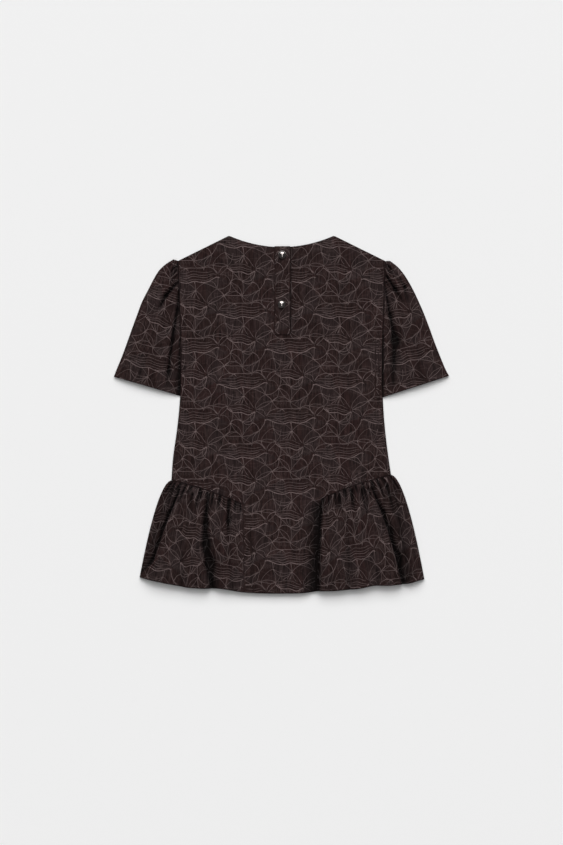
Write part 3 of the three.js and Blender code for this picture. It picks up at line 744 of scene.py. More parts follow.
def back_panel(side, across, down):
    """Places on the outside of a gathered panel of the back, and the painted shade of each, a little over the
    whole panel and more in its folds, with a painted highlight on its ridges.
    """
    x, y = panel_plan(side, across, down)
    folds = fold_depth(PEPLUM_FOLDS[side] + GATHER_FOLDS[side], x, y)
    rise = 1 - np.exp(-down / PUFF_START)
    outer = np.clip((across - 1 + OUTER_FALL) / OUTER_FALL, 0, 1)
    if side == "left":
        fullness = mix(STRIP_PUFF, PUFF, smooth_step(0, INNER_RISE[side], across))
    else:
        inner = np.minimum(1, across / INNER_RISE[side])
        fullness = PUFF * np.sqrt(1 - (1 - inner) ** 2)
    fullness = fullness * np.sqrt(1 - outer * outer)
    edge = fullness / PUFF
    relief = soft_floor(fullness * rise - folds * edge)
    half, seam_y = waist_point(side, across)
    base = crown(SIDES[side] * half, seam_y) * (1 - rise)
    z = BACK_TOP + base + panel_loft(across, down) + relief
    inset = panel_inset(across, down)
    z -= roll_down(inset)
    return np.stack([x, y, z], -1), shade_of(folds / PUFF + PANEL_SHADE, inset)


def front_panel(side, across, down):
    """Places on the outside of a gathered panel of the front, which faces the surface, and the painted shade
    on its raised waves.
    """
    x, y = panel_plan(side, across, down)
    wave = 0.5 - 0.5 * np.cos(2 * np.pi * FRONT_WAVES * across)
    raised = np.maximum(0, wave - FRONT_FLAT) / (1 - FRONT_FLAT)
    z = REST + panel_loft(across, down) * raised + roll_down(panel_inset(across, down))
    return np.stack([x, y, z], -1), raised * FRONT_SHADE


# Bodice and the plain middle of the peplum
def pucker(x, y):
    """Ripples beside the gathered stretches of the waist seam."""
    above = np.maximum(0, y - waist_y(x))
    ends = np.where(x < 0, WAIST["left"]["end_half"], WAIST["right"]["end_half"])
    gathered = smooth_step(0, PUCKER_START, np.abs(x) - ends)
    sway = PUCKER_SWAY[0] * np.sin(x / PUCKER_SWAY[1])
    wave = np.sin(2 * np.pi * x / PUCKER_PITCH + sway) - PUCKER_LEVEL
    return PUCKER * gathered * wave * np.exp(-above / PUCKER_REACH)


def back_body(x, y):
    """Places on the outside of the back, and the painted shade of each, in its folds, beside its seams and
    edges, beside the deep fold of the plain middle, and as a painted shadow beside the band.
    """
    down = strip_down(x, y)
    rise = 1 - np.exp(-down / PUFF_START)
    folds = fold_depth(BODICE_FOLDS, x, y)
    bodice = crown(x, y) - folds + pucker(x, y)
    strip_folds = fold_depth(STRIP_FOLDS, x, y) * rise
    right_edge = mix(WAIST["right"]["end_half"], WAIST["right"]["hem_half"], down)
    fullness = STRIP_PUFF * rise * (1 - np.exp(-np.clip((right_edge - x) / STRIP_FALL, 0, None) ** 2))
    strip = panel_loft(0, down) + np.maximum(fullness - strip_folds, 0)
    # Painted shadow beside the free edge of the over band
    painted_band_shadow = BAND_SHADE * np.exp(-(((x - BAND["right"]) / BAND_SHADE_REACH) ** 2))
    painted_band_shadow *= (y > BAND["bottom"]) & (y < BAND["top"])
    # Painted shade beside the deep fold at the right of the plain middle
    painted_valley_shade = STRIP_SHADE * rise * np.exp(-np.clip((right_edge - x) / STRIP_SHADE_REACH, 0, None) ** 2)
    z = BACK_TOP + bodice * (1 - rise) + strip
    inset = body_inset(x, y, back_top_y, with_strip_sides=False)
    z = np.maximum(z, BACK_TOP - BACK_DIP) - roll_down(inset)
    # All the painted shade of the back
    fold = np.maximum(folds, 0) * BODICE_FOLD_SHADE + strip_folds * STRIP_FOLD_SHADE + painted_valley_shade + painted_band_shadow
    return np.stack([x, y, z], -1), shade_of(fold, inset)


def front_body(x, y):
    """Places on the outside of the front, which faces the surface."""
    z = REST + roll_down(body_inset(x, y, front_top_y, with_strip_sides=False))
    return np.stack([x, y, z], -1), np.zeros_like(x)


# Sleeves
for rows in SLEEVES.values():
    for place, row in enumerate(rows):
        row["place"] = place


def sleeve_section(side, place):
    rows = SLEEVES[side]
    inner_y, outer_half, outer_y, puff = (
        along(rows, key, place, "place") for key in ("inner_y", "outer_half", "outer_y", "puff")
    )
    inner_half = body_half(side, inner_y) + SEAM_GAP
    return inner_half, inner_y, outer_half, outer_y, puff


def last_row(side):
    return len(SLEEVES[side]) - 1


def sleeve_inset(side, place, from_armhole):
    """How far in from the armhole, the cap or the hem a point of a sleeve is."""
    last = last_row(side)
    row = SLEEVE_DEPTH / last
    return np.minimum(from_armhole, np.minimum(place * row, (last - place) * row))


def sleeve_plan(side, section, half):
    inner_half, inner_y, outer_half, outer_y, _ = section
    share = (half - inner_half) / (outer_half - inner_half)
    return SIDES[side] * half, mix(inner_y, outer_y, share)


def sleeve_top(side, place, share):
    """Places on the upper outside of a sleeve, from the armhole at share 0 to its fold at share 1, and the
    painted shade of each, with a painted highlight on its ridges.
    """
    section = sleeve_section(side, place)
    inner_half, _, outer_half, _, puff = section
    x, y = sleeve_plan(side, section, mix(inner_half, outer_half - SLEEVE_FOLD_RADIUS, share))
    bell = np.maximum(0, np.sin(np.pi * np.clip(share, 0, 1))) ** PUFF_POWER
    folds = fold_depth(SLEEVE_FOLDS[side], x, y)
    fullness = puff + SLEEVE_RISE * np.minimum(1, puff / SLEEVE_FULL_PUFF)
    relief = soft_floor(fullness * bell - folds * bell, SLEEVE_ROUNDING)
    z = mix(BACK_TOP, 2 * SLEEVE_FOLD_RADIUS, share) + relief
    inset = sleeve_inset(side, place, share * (outer_half - inner_half))
    return np.stack([x, y, z - roll_down(inset)], -1), shade_of(folds / SLEEVE_SHADE_DEPTH, inset)


def sleeve_under(side, place, share):
    """The same below, from the fold at share 0 back to the armhole at share 1."""
    section = sleeve_section(side, place)
    inner_half, _, outer_half, _, _ = section
    x, y = sleeve_plan(side, section, mix(outer_half - SLEEVE_FOLD_RADIUS, inner_half, share))
    inset = sleeve_inset(side, place, (1 - share) * (outer_half - inner_half))
    return np.stack([x, y, REST + roll_down(inset)], -1), np.zeros_like(x)


def sleeve_grain(side, spots):
    """Places in the flat cloth of a sleeve, whose threads lean out with it."""
    lean = math.radians(SLEEVE_LEAN) * SIDES[side]
    x, y = spots[..., 0], spots[..., 1]
    return np.stack([x * math.cos(lean) + y * math.sin(lean), y * math.cos(lean) - x * math.sin(lean)], -1)


def sleeve_spot(side, cloth):
    """The section and the half width of a sleeve at which each place in its cloth lies."""
    lean = math.radians(SLEEVE_LEAN) * SIDES[side]
    x = cloth[:, 0] * math.cos(lean) - cloth[:, 1] * math.sin(lean)
    y = cloth[:, 0] * math.sin(lean) + cloth[:, 1] * math.cos(lean)
    half = x * SIDES[side]
    low = np.zeros_like(x)
    high = np.full_like(x, last_row(side))
    for _ in range(SLEEVE_HALVINGS):
        place = (low + high) / 2
        above = sleeve_plan(side, sleeve_section(side, place), half)[1] > y
        low, high = np.where(above, place, low), np.where(above, high, place)
    return place, half


# Meshes
def mesh_object(name, points, faces, cloth_place=None, **attributes):
    """An object in metres, with its place in the flat cloth as UV and a value a point for each name."""
    mesh = bpy.data.meshes.new(name)
    mesh.from_pydata((np.asarray(points) * MM).tolist(), [], [list(face) for face in faces])
    mesh.update()
    for label, values in attributes.items():
        mesh.attributes.new(label, "FLOAT", "POINT").data.foreach_set("value", np.asarray(values, float))
    if cloth_place is not None:
        corners = np.empty(len(mesh.loops), int)
        mesh.loops.foreach_get("vertex_index", corners)
        uv = mesh.uv_layers.new(name="cloth")
        uv.data.foreach_set("uv", (np.asarray(cloth_place)[corners] * MM).ravel())
    mesh.polygons.foreach_set("use_smooth", np.ones(len(mesh.polygons), bool))
    thing = bpy.data.objects.new(name, mesh)
    bpy.context.scene.collection.objects.link(thing)
    return thing


def shell(name, outer, inner, cloth_place, creases, has_cloth=None):
    """A closed thin shell from the grids of its outer and inner faces. Cells with no cloth are left out."""
    rows, columns = outer.shape[:2]
    if has_cloth is None:
        has_cloth = np.ones((rows - 1, columns - 1), bool)
    index = np.arange(rows * columns).reshape(rows, columns)
    corners = [index[:-1, :-1], index[1:, :-1], index[1:, 1:], index[:-1, 1:]]
    quads = np.stack([c[has_cloth] for c in corners], -1)
    under = quads[:, ::-1] + rows * columns
    sides = np.concatenate([quads[:, [k, (k + 1) % 4]] for k in range(4)])
    count = rows * columns
    keys = sides[:, 0].astype(np.int64) * count + sides[:, 1]
    back_keys = sides[:, 1].astype(np.int64) * count + sides[:, 0]
    rim = sides[~np.isin(keys, back_keys)]
    rims = np.stack([rim[:, 1], rim[:, 0], rim[:, 0] + count, rim[:, 1] + count], -1)
    faces = np.concatenate([quads, under, rims])
    points = np.concatenate([outer.reshape(-1, 3), inner.reshape(-1, 3)])
    places = np.tile(cloth_place.reshape(-1, 2), (2, 1))
    painted_shade_points = np.concatenate([creases.ravel(), np.zeros(count)])
    a, b, c, d = (points[faces[:, k]] for k in range(4))
    volume = (a * (np.cross(b, c) + np.cross(c, d))).sum()
    if volume < 0:
        faces = faces[:, ::-1]
    used, faces = np.unique(faces, return_inverse=True)
    faces = faces.reshape(-1, 4)
    tones = cell_tones(places[used])
    return mesh_object(name, points[used], faces, places[used], crease=painted_shade_points[used], tone=tones)


def under_face(outer, facing):
    """The inner face of a piece. That of the back stays above the front."""
    inner = outer - [0, 0, facing * THIN]
    if facing > 0:
        inner[..., 2] = np.maximum(inner[..., 2], REST + THIN + LAYER_GAP)
    return inner


def body_columns(step):
    """Columns of the bodice: those of the plain middle keep their x, and the others spread with its edge."""
    columns = []
    left, right = WAIST["left"]["end_half"], WAIST["right"]["end_half"]
    for side in ("left", "right"):
        end = WAIST[side]["end_half"]
        width = SHOULDER_HALF - end
        shares = edged(round(width / step), width)[1:]
        outer = [dict(side=side, share=float(share)) for share in shares]
        columns.append(outer[::-1] if side == "left" else outer)
    width = left + right
    middle = mix(-left, right, edged(round(width / step), width))
    middle = np.union1d(middle, OPENING_X)
    plain = [dict(side="left" if x < 0 else "right", x=float(x)) for x in middle]
    return columns[0] + plain + columns[1]


def body_piece(name, surface, top_y, facing, shift, step, is_open=None):
    """The front or the back: the bodice down to the waist seam, and the plain middle on down to the hem."""
    columns = body_columns(step)
    bodice = edged(round(BODICE_DEPTH / step), BODICE_DEPTH)
    strip = edged(round(PANEL_DEPTH / step), PANEL_DEPTH)[1:]
    xs, ys = [], []
    for column in columns:
        waist = WAIST[column["side"]]
        half = column["x"] * SIDES[column["side"]] if "x" in column else None
        shoulder = half if half is not None else mix(waist["end_half"], SHOULDER_HALF, column["share"])
        seam_half = half if half is not None else waist_point(column["side"], column["share"])[0]
        sign = SIDES[column["side"]]
        seam = waist_y(np.array([sign * seam_half]))[0]
        y = mix(top_y(np.array([sign * shoulder]))[0], seam, bodice)
        if half is None:
            edge = body_half(column["side"], y)
            edge[0] = SHOULDER_HALF
            x = sign * mix(waist["end_half"], edge, column["share"])
        else:
            x = np.full_like(y, column["x"])
        below = x[-1] * mix(1, waist["hem_half"] / waist["end_half"], strip)
        xs.append(np.concatenate([x, below]))
        ys.append(np.concatenate([y, mix(seam, hem_y(below), strip)]))
    x, y = np.array(xs).T, np.array(ys).T
    outer, creases = surface(x, y)
    inner = under_face(outer, facing)
    middle = np.array(["x" in column for column in columns])
    has_cloth = np.ones((len(y) - 1, len(columns) - 1), bool)
    has_cloth[len(bodice) - 1 :] &= middle[:-1] & middle[1:]
    if is_open is not None:
        has_cloth &= ~is_open((x[1:, 1:] + x[:-1, :-1]) / 2, (y[1:, 1:] + y[:-1, :-1]) / 2)
    return shell(name, outer, inner, np.stack([x, y], -1) + shift, creases, has_cloth)


def panel_piece(name, side, surface, facing, shift, grid):
    """A gathered panel, with its rows closest together at the seam, where the gathers are finest."""
    width = panel_width(side)
    across, down = np.meshgrid(edged(grid[0], width), edged(grid[1], PANEL_DEPTH) ** PANEL_ROW_POWER)
    outer, creases = surface(side, across, down)
    inner = under_face(outer, facing)
    place = np.stack([across * width, -down * PANEL_DEPTH], -1) + shift
    return shell(name, outer, inner, place, creases)


def sleeve_piece(name, side, shift):
    """One wall: over the top from the armhole, round the fold and back below."""
    radius = SLEEVE_FOLD_RADIUS
    top_shares = edged(SLEEVE_GRID[0], SLEEVE_WIDTH)
    top_shares = top_shares[top_shares < 1 - 1 / SLEEVE_WIDTH]
    under_shares = 1 - top_shares[::2][::-1]
    angles = np.linspace(math.pi / 2, -math.pi / 2, SLEEVE_TURN_STEPS)
    outer, inner, creases = [], [], []
    for place in last_row(side) * edged(SLEEVE_GRID[1], SLEEVE_DEPTH):
        section = sleeve_section(side, place)
        top, crease = sleeve_top(side, place, top_shares)
        plan_x, plan_y = sleeve_plan(side, section, section[2] - radius + radius * np.cos(angles))
        turned = np.stack([plan_x, plan_y, mix(REST, 2 * radius, (1 + np.sin(angles)) / 2)], -1)
        under, _ = sleeve_under(side, place, under_shares)
        row = np.concatenate([top, turned, under])
        inside = row.copy()
        inside[: len(top), 2] -= THIN
        inside[-len(under) :, 2] += THIN
        inward = np.stack([-SIDES[side] * np.cos(angles), np.zeros_like(angles), -np.sin(angles)], -1)
        inside[len(top) : -len(under)] += THIN * inward
        outer.append(row)
        inner.append(inside)
        creases.append(np.concatenate([crease, np.zeros(len(row) - len(crease))]))
    outer = np.array(outer)
    return shell(name, outer, np.array(inner), sleeve_grain(side, outer) + shift, np.array(creases))


# The woven crackle
def repeat_place(column, drop):
    return np.array([REPEAT_WIDTH * column + HALF_DROP[0] * drop, HALF_DROP[1] * drop])


def in_repeats(points, reach):
    """Points of one repeat, and their places in those round it."""
    steps = range(-reach, reach + 1)
    return np.concatenate([points + repeat_place(column, drop) for drop in steps for column in steps])


def hub_places(random):
    """Hubs at both ends of each bundle, and more of them in the widest spaces that a few tries find."""
    hubs = []
    for bundle, side in itertools.product(BUNDLES, (-1, 1)):
        reach = side * bundle["half_length"] * heading(bundle["turn"])
        hubs.append(np.array([bundle["x"], bundle["y"]]) + reach)
    hubs = np.array(hubs)
    for _ in range(HUBS):
        tries = random.uniform(0, 1, (HUB_TRIES, 2)) @ [[REPEAT_WIDTH, 0], HALF_DROP]
        tries = tries[outside_bundles(tries, HUB_CLEARANCE)]
        far = np.linalg.norm(tries[:, None] - in_repeats(hubs, NEAR_REPEATS), axis=2).min(1)
        hubs = np.vstack([hubs, tries[far.argmax()]])
    return hubs


def hubs_round(hub, hubs):
    """The hubs that share an empty circle with a hub and a third one, in order round it."""
    near = hubs - hub
    far = np.hypot(*near.T)
    near = near[(far > NEARLY_ZERO) & (far < HUB_REACH)]
    half = (near * near).sum(1) / 2
    first, second = np.triu_indices(len(near), 1)
    cross = near[first, 0] * near[second, 1] - near[first, 1] * near[second, 0]
    crossing = np.abs(cross) > NEARLY_ZERO
    first, second, cross = first[crossing], second[crossing], cross[crossing]
    (ax, ay), (bx, by) = near[first].T, near[second].T
    centre = np.stack([half[first] * by - half[second] * ay, half[second] * ax - half[first] * bx], -1)
    centre /= cross[:, None]
    empty = (centre @ near.T - half).max(1) < NEARLY_ZERO
    near = near[np.union1d(first[empty], second[empty])]
    return hub + near[np.argsort(np.arctan2(near[:, 1], near[:, 0]))]


def heading(degrees):
    return np.array([math.cos(math.radians(degrees)), math.sin(math.radians(degrees))])


def bowed(start, end, bow, random):
    """Points from start to end on a shallow arc that bows to the left of the way, and sways a little."""
    way = end - start
    length = float(np.hypot(*way))
    share = np.linspace(0, 1, max(4, round(length / STRAND_STEP) + 1))[:, None]
    left = np.array([-way[1], way[0]]) / length
    pitch = WOBBLE_PITCH * random.uniform(*WOBBLE_PITCHES)
    sway = WOBBLE * np.sin(2 * np.pi * (share * length / pitch + random.uniform())) * np.sin(np.pi * share)
    return start + way * share + left * (bow * 4 * share * (1 - share) + sway)


def outside_bundles(points, times=1.0):
    """Whether each point lies outside the bundles of every repeat, or outside that many times their size."""
    outside = np.ones(len(points), bool)
    for bundle in BUNDLES:
        way = heading(bundle["turn"])
        for middle in in_repeats(np.array([[bundle["x"], bundle["y"]]]), NEAR_REPEATS):
            away = points - middle
            across = away @ [-way[1], way[0]] / (bundle["half_height"] + SILL_DROP / 2)
            outside &= (away @ way / bundle["half_length"]) ** 2 + across**2 > times**2
    return outside


def runs_where(kept):
    """The indices of each unbroken run of kept points that is long enough to draw."""
    breaks = np.flatnonzero(np.diff(kept.astype(int))) + 1
    for run in np.split(np.arange(len(kept)), breaks):
        if kept[run[0]] and len(run) >= SHORTEST_RUN:
            yield run


def link_strands(start, end, random):
    """The strand from hub to hub, or two that bow apart, as far as no bundle covers them."""
    length = float(np.hypot(*(end - start)))
    bow = random.uniform(-LINK_BOW, LINK_BOW) * min(1, length / LINK_BOW_LENGTH)
    shade = random.uniform(*STRAND_SHADES)
    is_twin = random.uniform() < TWIN_SHARE
    for side in (-1, 1) if is_twin else (0,):
        points = bowed(start, end, bow + side * TWIN_SPREAD / 2 * random.uniform(*TWIN_SPREADS), random)
        width = LINK_WIDTH * random.uniform(*LINK_WIDTHS)
        for run in runs_where(outside_bundles(points)):
            yield points[run], width, shade, JUNCTION


def inner_strands(corners, random):
    """Fainter strands between three hubs: one across the space, a fan from a hub, or a few short ribs."""
    apex, first, second = np.roll(corners, random.integers(3), axis=0)
    if random.uniform() < SPLIT_SHARE:
        foot = mix(first, second, random.uniform(*SPLIT_FOOT))
        points = bowed(apex, foot, random.uniform(-SPLIT_BOW, SPLIT_BOW), random)
        yield points, SPLIT_WIDTH, random.uniform(*INNER_SHADES), SPLIT_END
    elif random.uniform() < FAN_SHARE:
        for share in FAN_PLACES:
            tip = mix(apex, mix(first, second, share), random.uniform(*FAN_LENGTHS))
            points = bowed(apex, tip, random.uniform(-FAN_BOW, FAN_BOW), random)
            yield points, SPLIT_WIDTH, random.uniform(*INNER_SHADES), FAN_END
    elif random.uniform() < RIB_SHARE:
        for rib in RIBS:
            place = corners.mean(0) + [rib * RIB_PITCH, random.uniform(-RIB_RAGGED, RIB_RAGGED)]
            half = np.array([RIB_LEAN, random.uniform(*RIB_HALVES)])
            yield bowed(place - half, place + half, 0, random), RIB_WIDTH, random.uniform(*RIB_SHADES), TIP


def bundle_strands(bundle, random):
    """Long strands that run side by side with one wave, and the thick one below them."""
    way = heading(bundle["turn"])
    left = np.array([-way[1], way[0]])
    middle = np.array([bundle["x"], bundle["y"]])
    phase = random.uniform(0, 2 * np.pi)
    rows = []
    for height in np.linspace(1, -1, bundle["strands"]):
        width = STRAND_WIDTH * random.uniform(*STRAND_WIDTHS)
        rows.append((height, 0, width, random.uniform(*STRAND_SHADES), TIP))
    rows.append((-1, SILL_DROP, SILL_WIDTH, SILL_SHADE, 1.0))
    for height, drop, width, shade, tip in rows:
        reach, ragged = (SILL_REACH, 0) if drop else (1, BUNDLE_RAGGED)
        first, last = (reach * (1 - random.uniform(0, ragged)) for _ in range(2))
        place = np.linspace(-first, last, round(2 * bundle["half_length"] / STRAND_STEP))
        ends = np.abs(place)
        taper = np.clip(1 - ends ** BUNDLE_TAPER["power"], BUNDLE_TAPER["least"], 1)
        taper = taper ** BUNDLE_TAPER["rounding"]
        sill_taper = np.clip(SILL_TAPER["start"] - ends ** SILL_TAPER["power"], SILL_TAPER["least"], 1)
        offset = random.uniform(-BUNDLE_OFFSET, BUNDLE_OFFSET)
        apart = height * bundle["half_height"] * taper + offset - drop * sill_taper
        run = place * bundle["half_length"]
        turn = 2 * np.pi * run / BUNDLE_PITCH + phase + random.uniform(-BUNDLE_PHASE, BUNDLE_PHASE)
        wave = BUNDLE_WAVE * np.sin(turn)
        wave += WOBBLE * np.sin(2 * np.pi * run / WOBBLE_PITCH + random.uniform(0, 2 * np.pi))
        yield middle + np.outer(run, way) + np.outer(apart + wave, left), width, shade, tip


def crackle(random):
    """The strands of one repeat, and the triangles of hubs between them. A strand has points in the cloth, a
    width, a shade from dim to bright, and the width of its ends over that along the way."""
    hubs = hub_places(random)
    everywhere = in_repeats(hubs, FAR_REPEATS)
    strands, triangles = [], []
    for hub in hubs:
        ring = hubs_round(hub, everywhere)
        for near, following in zip(ring, np.roll(ring, -1, axis=0)):
            goes_on = tuple(near - hub) > (0, 0)
            if goes_on and random.uniform() < LINK_SHARE:
                strands.extend(link_strands(hub, near, random))
            if goes_on and tuple(following - hub) > (0, 0):
                triangles.append(np.array([hub, near, following]))
    for triangle in triangles:
        if outside_bundles(triangle.mean(0)[None])[0]:
            strands.extend(inner_strands(triangle, random))
    for bundle in BUNDLES:
        strands.extend(bundle_strands(bundle, random))
    return strands, triangles


RANDOM = np.random.default_rng(SEED)
STRANDS, TRIANGLES = crackle(RANDOM)
TONES = RANDOM.uniform(0, 1, len(TRIANGLES))


def cell_tones(cloth_place):
    """The tone of the triangle in which each place of the cloth lies."""
    drop = np.floor(cloth_place[:, 1] / HALF_DROP[1])
    x = cloth_place[:, 0] - HALF_DROP[0] * drop
    y = cloth_place[:, 1] - HALF_DROP[1] * drop
    place = np.stack([x - REPEAT_WIDTH * np.floor(x / REPEAT_WIDTH), y], -1)
    tones = np.full(len(place), MIDDLE_TONE)
    for triangle, tone in zip(TRIANGLES, TONES):
        for corners in in_repeats(triangle[None], NEAR_REPEATS):
            sides = np.roll(corners, -1, axis=0) - corners
            away = place[:, None] - corners
            if (corners.max(0) < 0).any() or (corners.min(0) > (REPEAT_WIDTH, HALF_DROP[1])).any():
                continue
            tones[(sides[:, 0] * away[..., 1] - sides[:, 1] * away[..., 0] > 0).all(1)] = tone
    return tones


def laid_strands(low, high, shift):
    """Each strand of each repeat that may reach the stretch of cloth between two corners."""
    low = np.array(low, float) + shift
    high = np.array(high, float) + shift
    drops = range(math.floor(low[1] / HALF_DROP[1]) - 1, math.ceil(high[1] / HALF_DROP[1]) + 2)
    for drop in drops:
        left = low[0] - HALF_DROP[0] * drop
        right = high[0] - HALF_DROP[0] * drop
        for column in range(math.floor(left / REPEAT_WIDTH) - 2, math.ceil(right / REPEAT_WIDTH) + 2):
            for points, *look in STRANDS:
                yield points + repeat_place(column, drop) - shift, *look


def weave(name, low, high, shift, surface, facing):
    """Raised yarn along the strands that lie on a surface. surface takes places in the cloth, and gives
    places in space, the painted shade of each, and whether it is on the piece."""
    strands = list(laid_strands(low, high, np.array(shift, float)))
    flat = np.concatenate([points for points, *_ in strands])
    spots, creases, inside = surface(flat)
    normals = normals_at(surface, flat, facing)
    ridges = Ridges()
    start = 0
    for points, width, shade, ends in strands:
        end = start + len(points)
        for run in runs_where(inside[start:end]):
            run = run + start
            ridges.add(spots[run], normals[run], flat[run], width, ends, shade, creases[run])
        start = end
    return ridges.as_object(name)


def normals_at(surface, flat, facing):
    """Outward normals of a surface at places in its cloth. facing is 1 for a surface that faces up."""
    across = surface(flat + [NUDGE, 0])[0] - surface(flat - [NUDGE, 0])[0]
    upward = surface(flat + [0, NUDGE])[0] - surface(flat - [0, NUDGE])[0]
    normals = np.cross(across, upward)
    normals /= np.maximum(np.linalg.norm(normals, axis=1, keepdims=True), 1e-9)
    return normals * np.where(normals[:, 2:] * facing < 0, -1, 1)


class Ridges:
    """Low closed ridges with three sides, gathered into one mesh."""

    def __init__(self):
        self.points, self.quads, self.ends, self.shades, self.places, self.creases = [], [], [], [], [], []
        self.count = 0

    def add(self, line, normal, flat, width, ends, shade, crease):
        """A ridge along a line on a surface. ends is its width at both ends over that along the way."""
        across = np.cross(np.gradient(line, axis=0), normal)
        across /= np.maximum(np.linalg.norm(across, axis=1, keepdims=True), 1e-9)
        steps = np.arange(len(line))
        near_end = np.exp(-np.minimum(steps, steps[::-1]) * STRAND_STEP / END_REACH)[:, None]
        base = line - normal * YARN_SINK
        half = across * width / 2 * mix(1, ends, near_end)
        rise = YARN_RISE * mix(1, min(ends, 1), near_end)
        ring = np.stack([base - half, line + normal * rise, base + half], 1)
        ring[..., 2] = np.maximum(ring[..., 2], YARN_FLOOR)
        first = self.count + 3 * steps[:-1, None]
        for near, far in ((0, 1), (1, 2), (2, 0)):
            side = [first + near, first + far, first + 3 + far, first + 3 + near]
            self.quads.append(np.concatenate(side, 1))
        last = self.count + 3 * (len(line) - 1)
        self.ends.append([self.count, self.count + 2, self.count + 1])
        self.ends.append([last, last + 1, last + 2])
        self.points.append(ring.reshape(-1, 3))
        self.shades.append(np.full(3 * len(line), shade))
        self.places.append(np.repeat(flat, 3, axis=0))
        self.creases.append(np.repeat(crease, 3))
        self.count += 3 * len(line)

    def as_object(self, name):
        faces = np.concatenate(self.quads).tolist() + self.ends
        points, places, creases, shades = (
            np.concatenate(parts) for parts in (self.points, self.places, self.creases, self.shades)
        )
        return mesh_object(name, points, faces, places, crease=creases, shade=shades)


# The buttoned opening
def is_opening(x, y):
    return (x > OPENING_X[0]) & (x < OPENING_X[1]) & (y > BAND["bottom"] + BAND["overlap"])


def sewn_roll(x, y):
    """How far the over band falls at the edges that are sewn down."""
    sewn = np.minimum(x - BAND["left"], y - BAND["bottom"])
    return roll_down(np.maximum(sewn, 0), *BAND_SEWN_ROLL)


def band_top(x, y):
    """Places on the outside of the over band, whose free right edge stands off the back."""
    lift = mix(BAND_LIFT[0], BAND_LIFT[1], (x - BAND["left"]) / (BAND["right"] - BAND["left"]))
    free = np.maximum(np.minimum(BAND["right"] - x, BAND["top"] - y), 0)
    back = BACK_TOP + crown(x, y) - fold_depth(BODICE_FOLDS, x, y)
    z = back + lift + BAND_CLOTH - np.maximum(roll_down(free, *BAND_FREE_ROLL), sewn_roll(x, y))
    for button_x, button_y in BUTTONS.values():
        away = np.hypot(x - button_x, y - button_y)
        z -= BUTTON_DENT * np.exp(-((away / BUTTON_RADIUS) ** 2))
    return np.stack([x, y, z], -1), np.zeros_like(x)


def over_band():
    """The band that shows, with a slot under each button."""
    wide = BAND["right"] - BAND["left"]
    long = BAND["top"] - BAND["bottom"]
    x = mix(BAND["left"], BAND["right"], edged(BAND_GRID[0], wide, BAND_INSETS))
    y = mix(BAND["top"], BAND["bottom"], edged(BAND_GRID[1], long, BAND_INSETS))
    x, y = np.meshgrid(x, y)
    outer, creases = band_top(x, y)
    cell_x, cell_y = (x[1:, 1:] + x[:-1, :-1]) / 2, (y[1:, 1:] + y[:-1, :-1]) / 2
    has_cloth = np.ones(cell_x.shape, bool)
    for button_x, button_y in BUTTONS.values():
        slot = (np.abs(cell_x - button_x) < SLOT_HALF[0]) & (np.abs(cell_y - button_y) < SLOT_HALF[1])
        has_cloth &= ~slot
    place = np.stack([x, y], -1) + WEAVE_SHIFT["band"]
    inner = outer - [0, 0, BAND_CLOTH]
    inner[..., 2] += np.minimum(sewn_roll(x, y), outer[..., 2] - inner[..., 2] - BAND_EDGE)
    return shell("over_band", outer, inner, place, creases, has_cloth)


def under_band():
    """The band below the slit, a little to the right of the over band and shorter."""
    left, right, overlap = BAND["left"], BAND["right"], BAND["overlap"]
    columns = edged(UNDER_BAND_GRID[0], right - left, UNDER_BAND_INSETS)
    rows = edged(UNDER_BAND_GRID[1], UNDER_BAND_LENGTH, UNDER_BAND_INSETS)
    x = mix(left + overlap / 2, right + overlap / 2, columns)
    y = mix(BAND["top"] - 2 * overlap, BAND["bottom"], rows)
    x, y = np.meshgrid(x, y)
    inset = np.minimum.reduce([x - x.min(), x.max() - x, y - y.min(), y.max() - y])
    z = BACK_LEVEL + BAND_CLOTH - roll_down(inset, *UNDER_BAND_ROLL)
    outer = np.stack([x, y, z], -1)
    inner = np.stack([x, y, np.full_like(x, BACK_LEVEL)], -1)
    return shell("under_band", outer, inner, np.stack([x, y], -1), np.zeros_like(x))


def buttonhole_stitches():
    """Close threads round the slot of each buttonhole."""
    ridges = Ridges()
    flat_share = np.linspace(0, 1, STITCH_POINTS)[:, None]
    reach = SLOT_HALF[1] + STITCH_OVERRUN
    rows = np.arange(-reach, reach, STITCH_PITCH)
    for button_x, button_y in BUTTONS.values():
        for side, row in itertools.product((-1, 1), rows):
            near = np.array([button_x + side * (SLOT_HALF[0] - STITCH_INSET), row + button_y])
            far = near + [side * STITCH_LENGTH, 0]
            flat = near + (far - near) * flat_share
            line, crease = band_top(flat[:, 0], flat[:, 1])
            up = np.tile([0.0, 0.0, 1.0], (len(flat), 1))
            ridges.add(line, up, flat, STITCH_PITCH * STITCH_SHARE, 1, STITCH_SHADE, crease)
    return ridges.as_object("buttonhole_stitches")


def button(name):
    """A polished dome turned on its shank, of the size and place of its solid."""
    low, high = (np.array(corner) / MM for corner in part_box(name))
    centre = (low + high) / 2
    base = high[2] - BUTTON_HEIGHT
    turn = np.linspace(1, 0, BUTTON_RINGS)
    ball = (BUTTON_RADIUS**2 + BUTTON_DOME**2) / (2 * BUTTON_DOME)
    tilt = math.asin(BUTTON_RADIUS / ball) * turn
    dome = np.stack([ball * np.sin(tilt), BUTTON_HEIGHT - ball * (1 - np.cos(tilt))], -1)
    bevel, bevel_top, side_top = BUTTON_CHAMFER
    foot = [
        [0, low[2] - base],
        [SHANK_RADIUS, low[2] - base],
        [SHANK_RADIUS, 0],
        [BUTTON_FOOT_RADIUS, 0],
        [BUTTON_RADIUS - bevel, bevel_top],
        [BUTTON_RADIUS, side_top],
    ]
    return lathe(name + "_dome", np.array([*foot, *dome]), (centre[0], centre[1], base), BUTTON_SEGMENTS)


